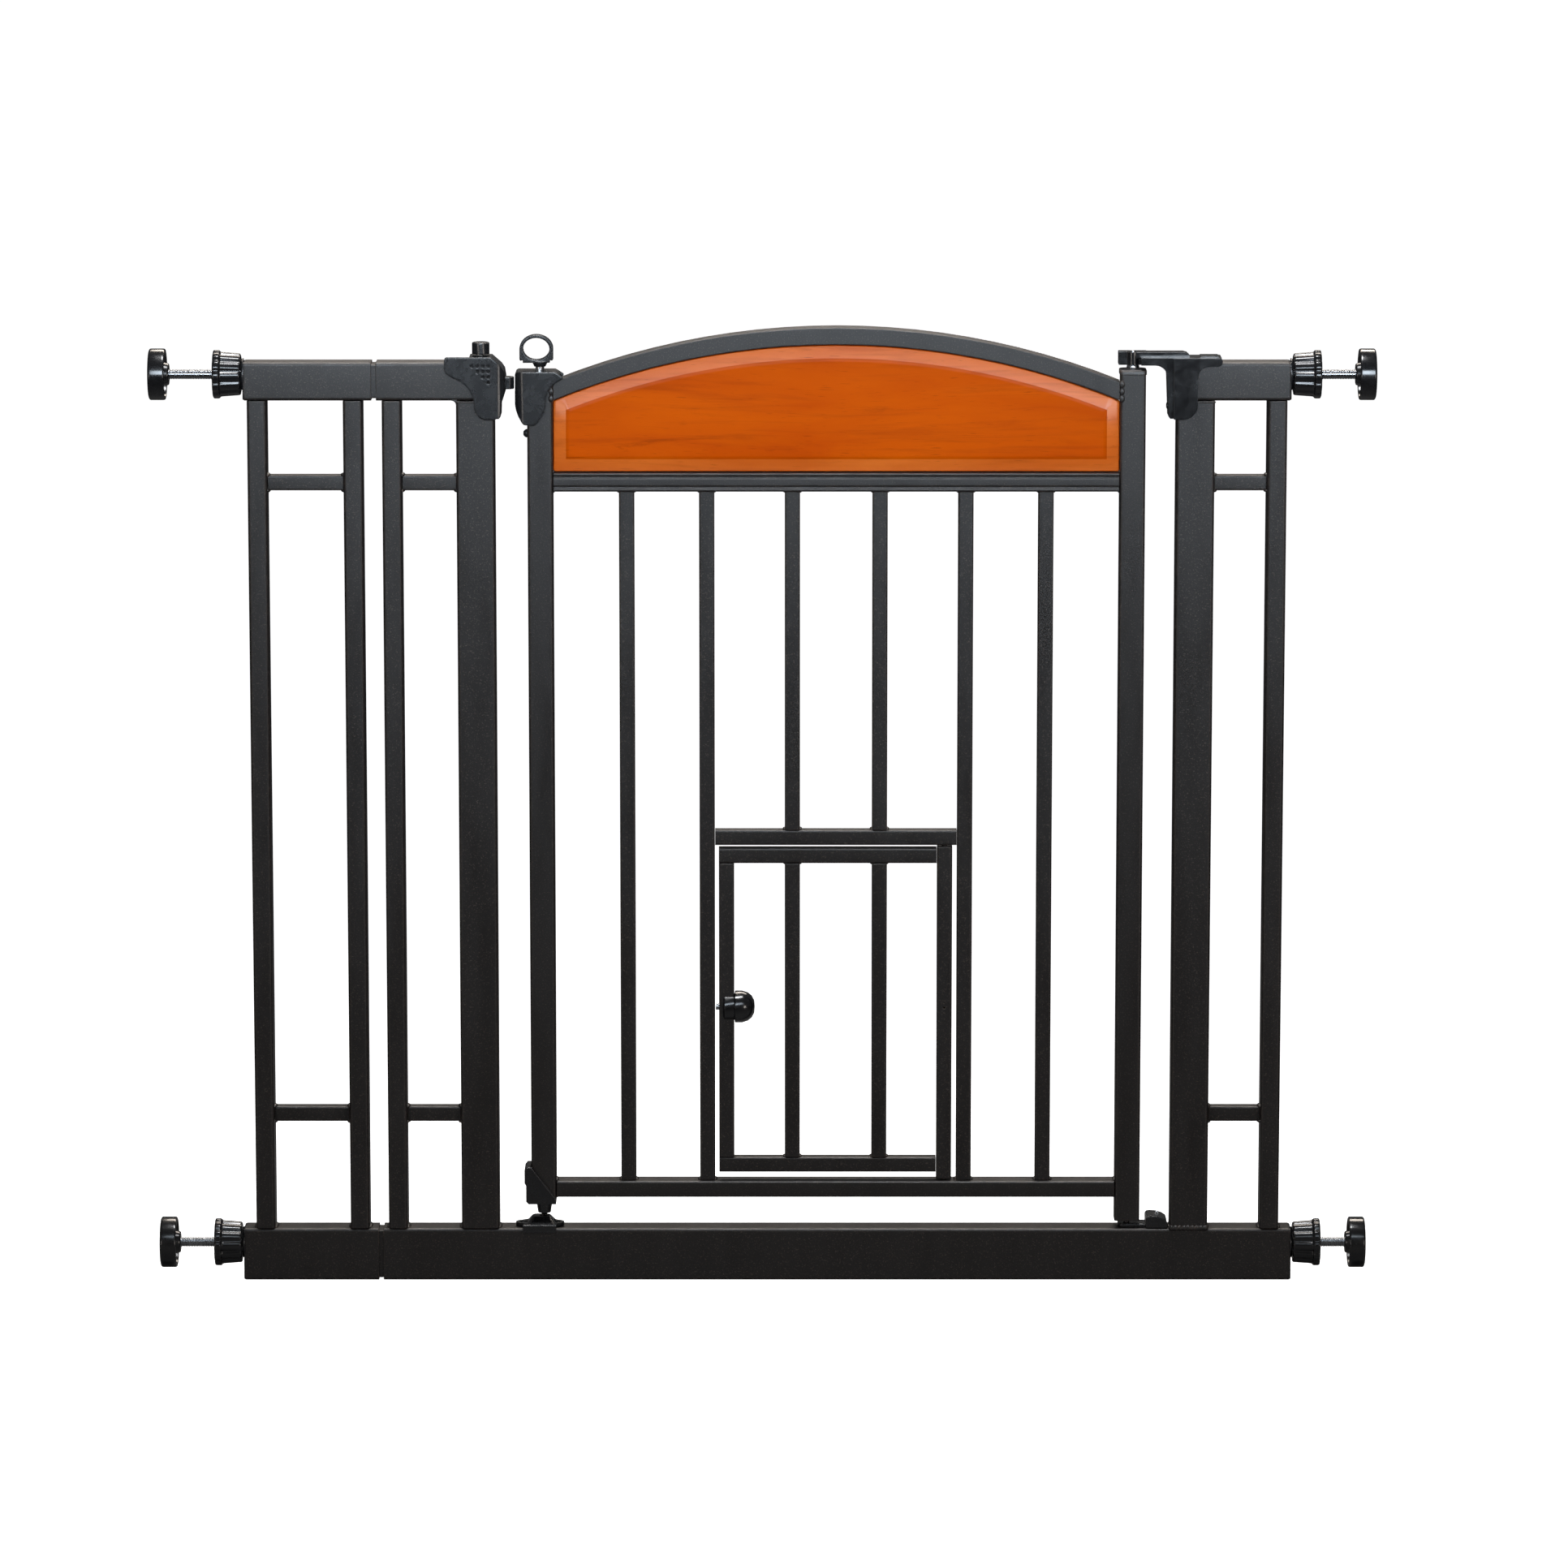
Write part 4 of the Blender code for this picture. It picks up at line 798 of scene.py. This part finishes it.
def make_stile_cap():
    """The domed cap on the hinge stile, with the joint line under its rim."""
    low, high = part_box("hinge_stile")
    centre_x = (low.x + high.x) / 2
    half = (high.x - low.x) / 2
    shape = bmesh.new()
    levels = (
        (-0.0036, 0.0003), (-0.0034, 0.0006), (-0.0003, 0.0006), (0.0001, 0.0003),
        (0.0004, -0.0008), (0.0007, -0.0028), (0.0009, -0.0060),
    )
    rows = []
    for rise, spread in levels:
        size = half + spread
        corners = [(-size, -size), (size, -size), (size, size), (-size, size)]
        loop = softened(corners, 0.0030, 5, closed=True)
        rows.append([shape.verts.new((centre_x + p.x, p.y, high.z + rise)) for p in loop])
    skin(shape, rows)
    piece("hinge_stile_cap", shape, "gate", [powder], 50)


def make_hinge_pin():
    """The pivot pin's zinc ends, its collar below the barrel and its rounded head above: partly the real
    pin, partly a painted highlight for the glint on the glossy barrel.
    """
    stile_low, stile_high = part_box("hinge_stile")
    x = (stile_low.x + stile_high.x) / 2
    shape = bmesh.new()
    # The bright zinc of collar and head is partly a painted highlight, standing in for the reflection on the
    # glossy barrel.
    foot = stile_high.z + 0.0010
    corners = [
        (foot, 0.0, 0), (foot, 0.0049, 0), (foot + 0.0009, 0.0050, 0), (foot + 0.0026, 0.0047, 0),
        (foot + 0.0028, 0.0, 0),
    ]
    revolve(shape, softened(corners, 0.0003, 2), (x, 0, 0), (0, 0, 1), (1, 0, 0), 40)
    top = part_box("hinge_bracket")[1].z
    corners = [
        (top - 0.0004, 0.0, 0), (top - 0.0004, 0.0027, 0), (top + 0.0012, 0.0024, 0), (top + 0.0014, 0.0, 0),
    ]
    revolve(shape, softened(corners, 0.0007, 3), (x, 0, 0), (0, 0, 1), (1, 0, 0), 40)
    piece("hinge_pin_ends_and_painted_glint", shape, "frame", [zinc], 40)


def make_rivets():
    """The domed rivet on the side of the latch stile, and the screws at the two hinges."""
    low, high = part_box("latch_stile")
    shape = bmesh.new()
    corners = [(0.0, 0.0, 0), (0.0, 0.0034, 0), (0.0012, 0.0033, 0), (0.0031, 0.0018, 0), (0.0032, 0.0, 0)]
    dome = softened(corners, 0.0012, 4)
    revolve(shape, dome, (low.x, -0.0035, high.z - 0.0455), (-1, 0, 0), (0, 0, 1), 40)
    piece("latch_stile_rivet", shape, "gate", [satin], 50)
    post_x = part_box("hinge_post")[0].x
    place = (post_x - 0.0062, 0.0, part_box("hinge_bracket")[0].z + 0.0095)
    name = "hinge_side_screw"
    screw_head(name, "frame", place, (-1, 0, 0), (0, 0, 1), 0.0030, 0.0016, satin)
    block_low, block_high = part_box("hinge_floor_plate")
    place = (block_high.x - 0.0085, block_low.y, block_high.z - 0.0046)
    screw_head("hinge_block_screw", "frame", place, (0, -1, 0), (1, 0, 0), 0.0021, 0.0010, zinc)


# --- studio -------------------------------------------------------------------


def seen_by_camera(tree):
    return node(tree, "ShaderNodeLightPath").outputs["Is Camera Ray"]


def make_studio():
    """A white room as the camera sees it, but dim to everything else, so that black parts stay black."""
    world = bpy.data.worlds.new("studio")
    world.use_nodes = True
    background = world.node_tree.nodes["Background"]
    background.inputs["Color"].default_value = (1.0, 1.0, 1.0, 1.0)
    strength = ramp(world.node_tree, seen_by_camera(world.node_tree), 0.0, 1.0, ROOM_LIGHT, BACKDROP_GLOW)
    world.node_tree.links.new(strength, background.inputs["Strength"])
    bpy.context.scene.world = world
    bpy.context.scene.view_settings.view_transform = "Standard"
    mesh = bpy.data.meshes.new("studio_floor")
    size = FLOOR_REACH
    corners = [(-size, -size, 0), (size, -size, 0), (size, size, 0), (-size, size, 0)]
    mesh.from_pydata(corners, [], [(0, 1, 2, 3)])
    floor = bpy.data.objects.new("studio_floor", mesh)
    bpy.context.scene.collection.objects.link(floor)
    mat, tree, shader, place = start_material("studio_floor")
    pale = mix(tree, noise_at(tree, place, 3.0), (0.72, 0.72, 0.72), (0.76, 0.76, 0.76))
    tree.links.new(mix(tree, seen_by_camera(tree), (0.16, 0.16, 0.16), pale), shader.inputs["Base Color"])
    shader.inputs["Roughness"].default_value = 0.9
    shader.inputs["Emission Color"].default_value = (1.0, 1.0, 1.0, 1.0)
    glow = ramp(tree, seen_by_camera(tree), 0.0, 1.0, 0.0, FLOOR_GLOW)
    tree.links.new(glow, shader.inputs["Emission Strength"])
    mesh.materials.append(mat)
    for softbox in SOFTBOXES:
        add_light(*softbox)


def add_light(name, place, target, size, spread, power, color):
    data = bpy.data.lights.new(name, "AREA")
    data.shape = "RECTANGLE"
    data.size, data.size_y = size
    data.spread = math.radians(spread)
    data.energy = power
    data.color = color
    light = bpy.data.objects.new(name, data)
    light.location = place
    light.rotation_euler = (Vector(target) - Vector(place)).to_track_quat("-Z", "Y").to_euler()
    bpy.context.scene.collection.objects.link(light)


def make_camera():
    data = bpy.data.cameras.new("camera")
    data.lens = CAMERA_LENS
    data.sensor_width = SENSOR_WIDTH
    data.clip_end = 100.0
    camera = bpy.data.objects.new("camera", data)
    camera.location = CAMERA_PLACE
    camera.rotation_euler = (math.radians(CAMERA_PITCH), 0, 0)
    bpy.context.scene.collection.objects.link(camera)
    bpy.context.scene.camera = camera


make_camera()
make_studio()
dress_nodes()
for mount in MOUNTS:
    make_threaded_rod(mount)
    make_hand_nut(mount)
    make_wall_cup(mount)
    make_rail_plug(mount)
make_wood_panel()
make_grip_dimples()
make_floor_screws()
make_stile_cap()
make_hinge_pin()
make_rivets()
make_frame_welds()
make_gate_welds()
make_door_welds()
make_corner_fillet()
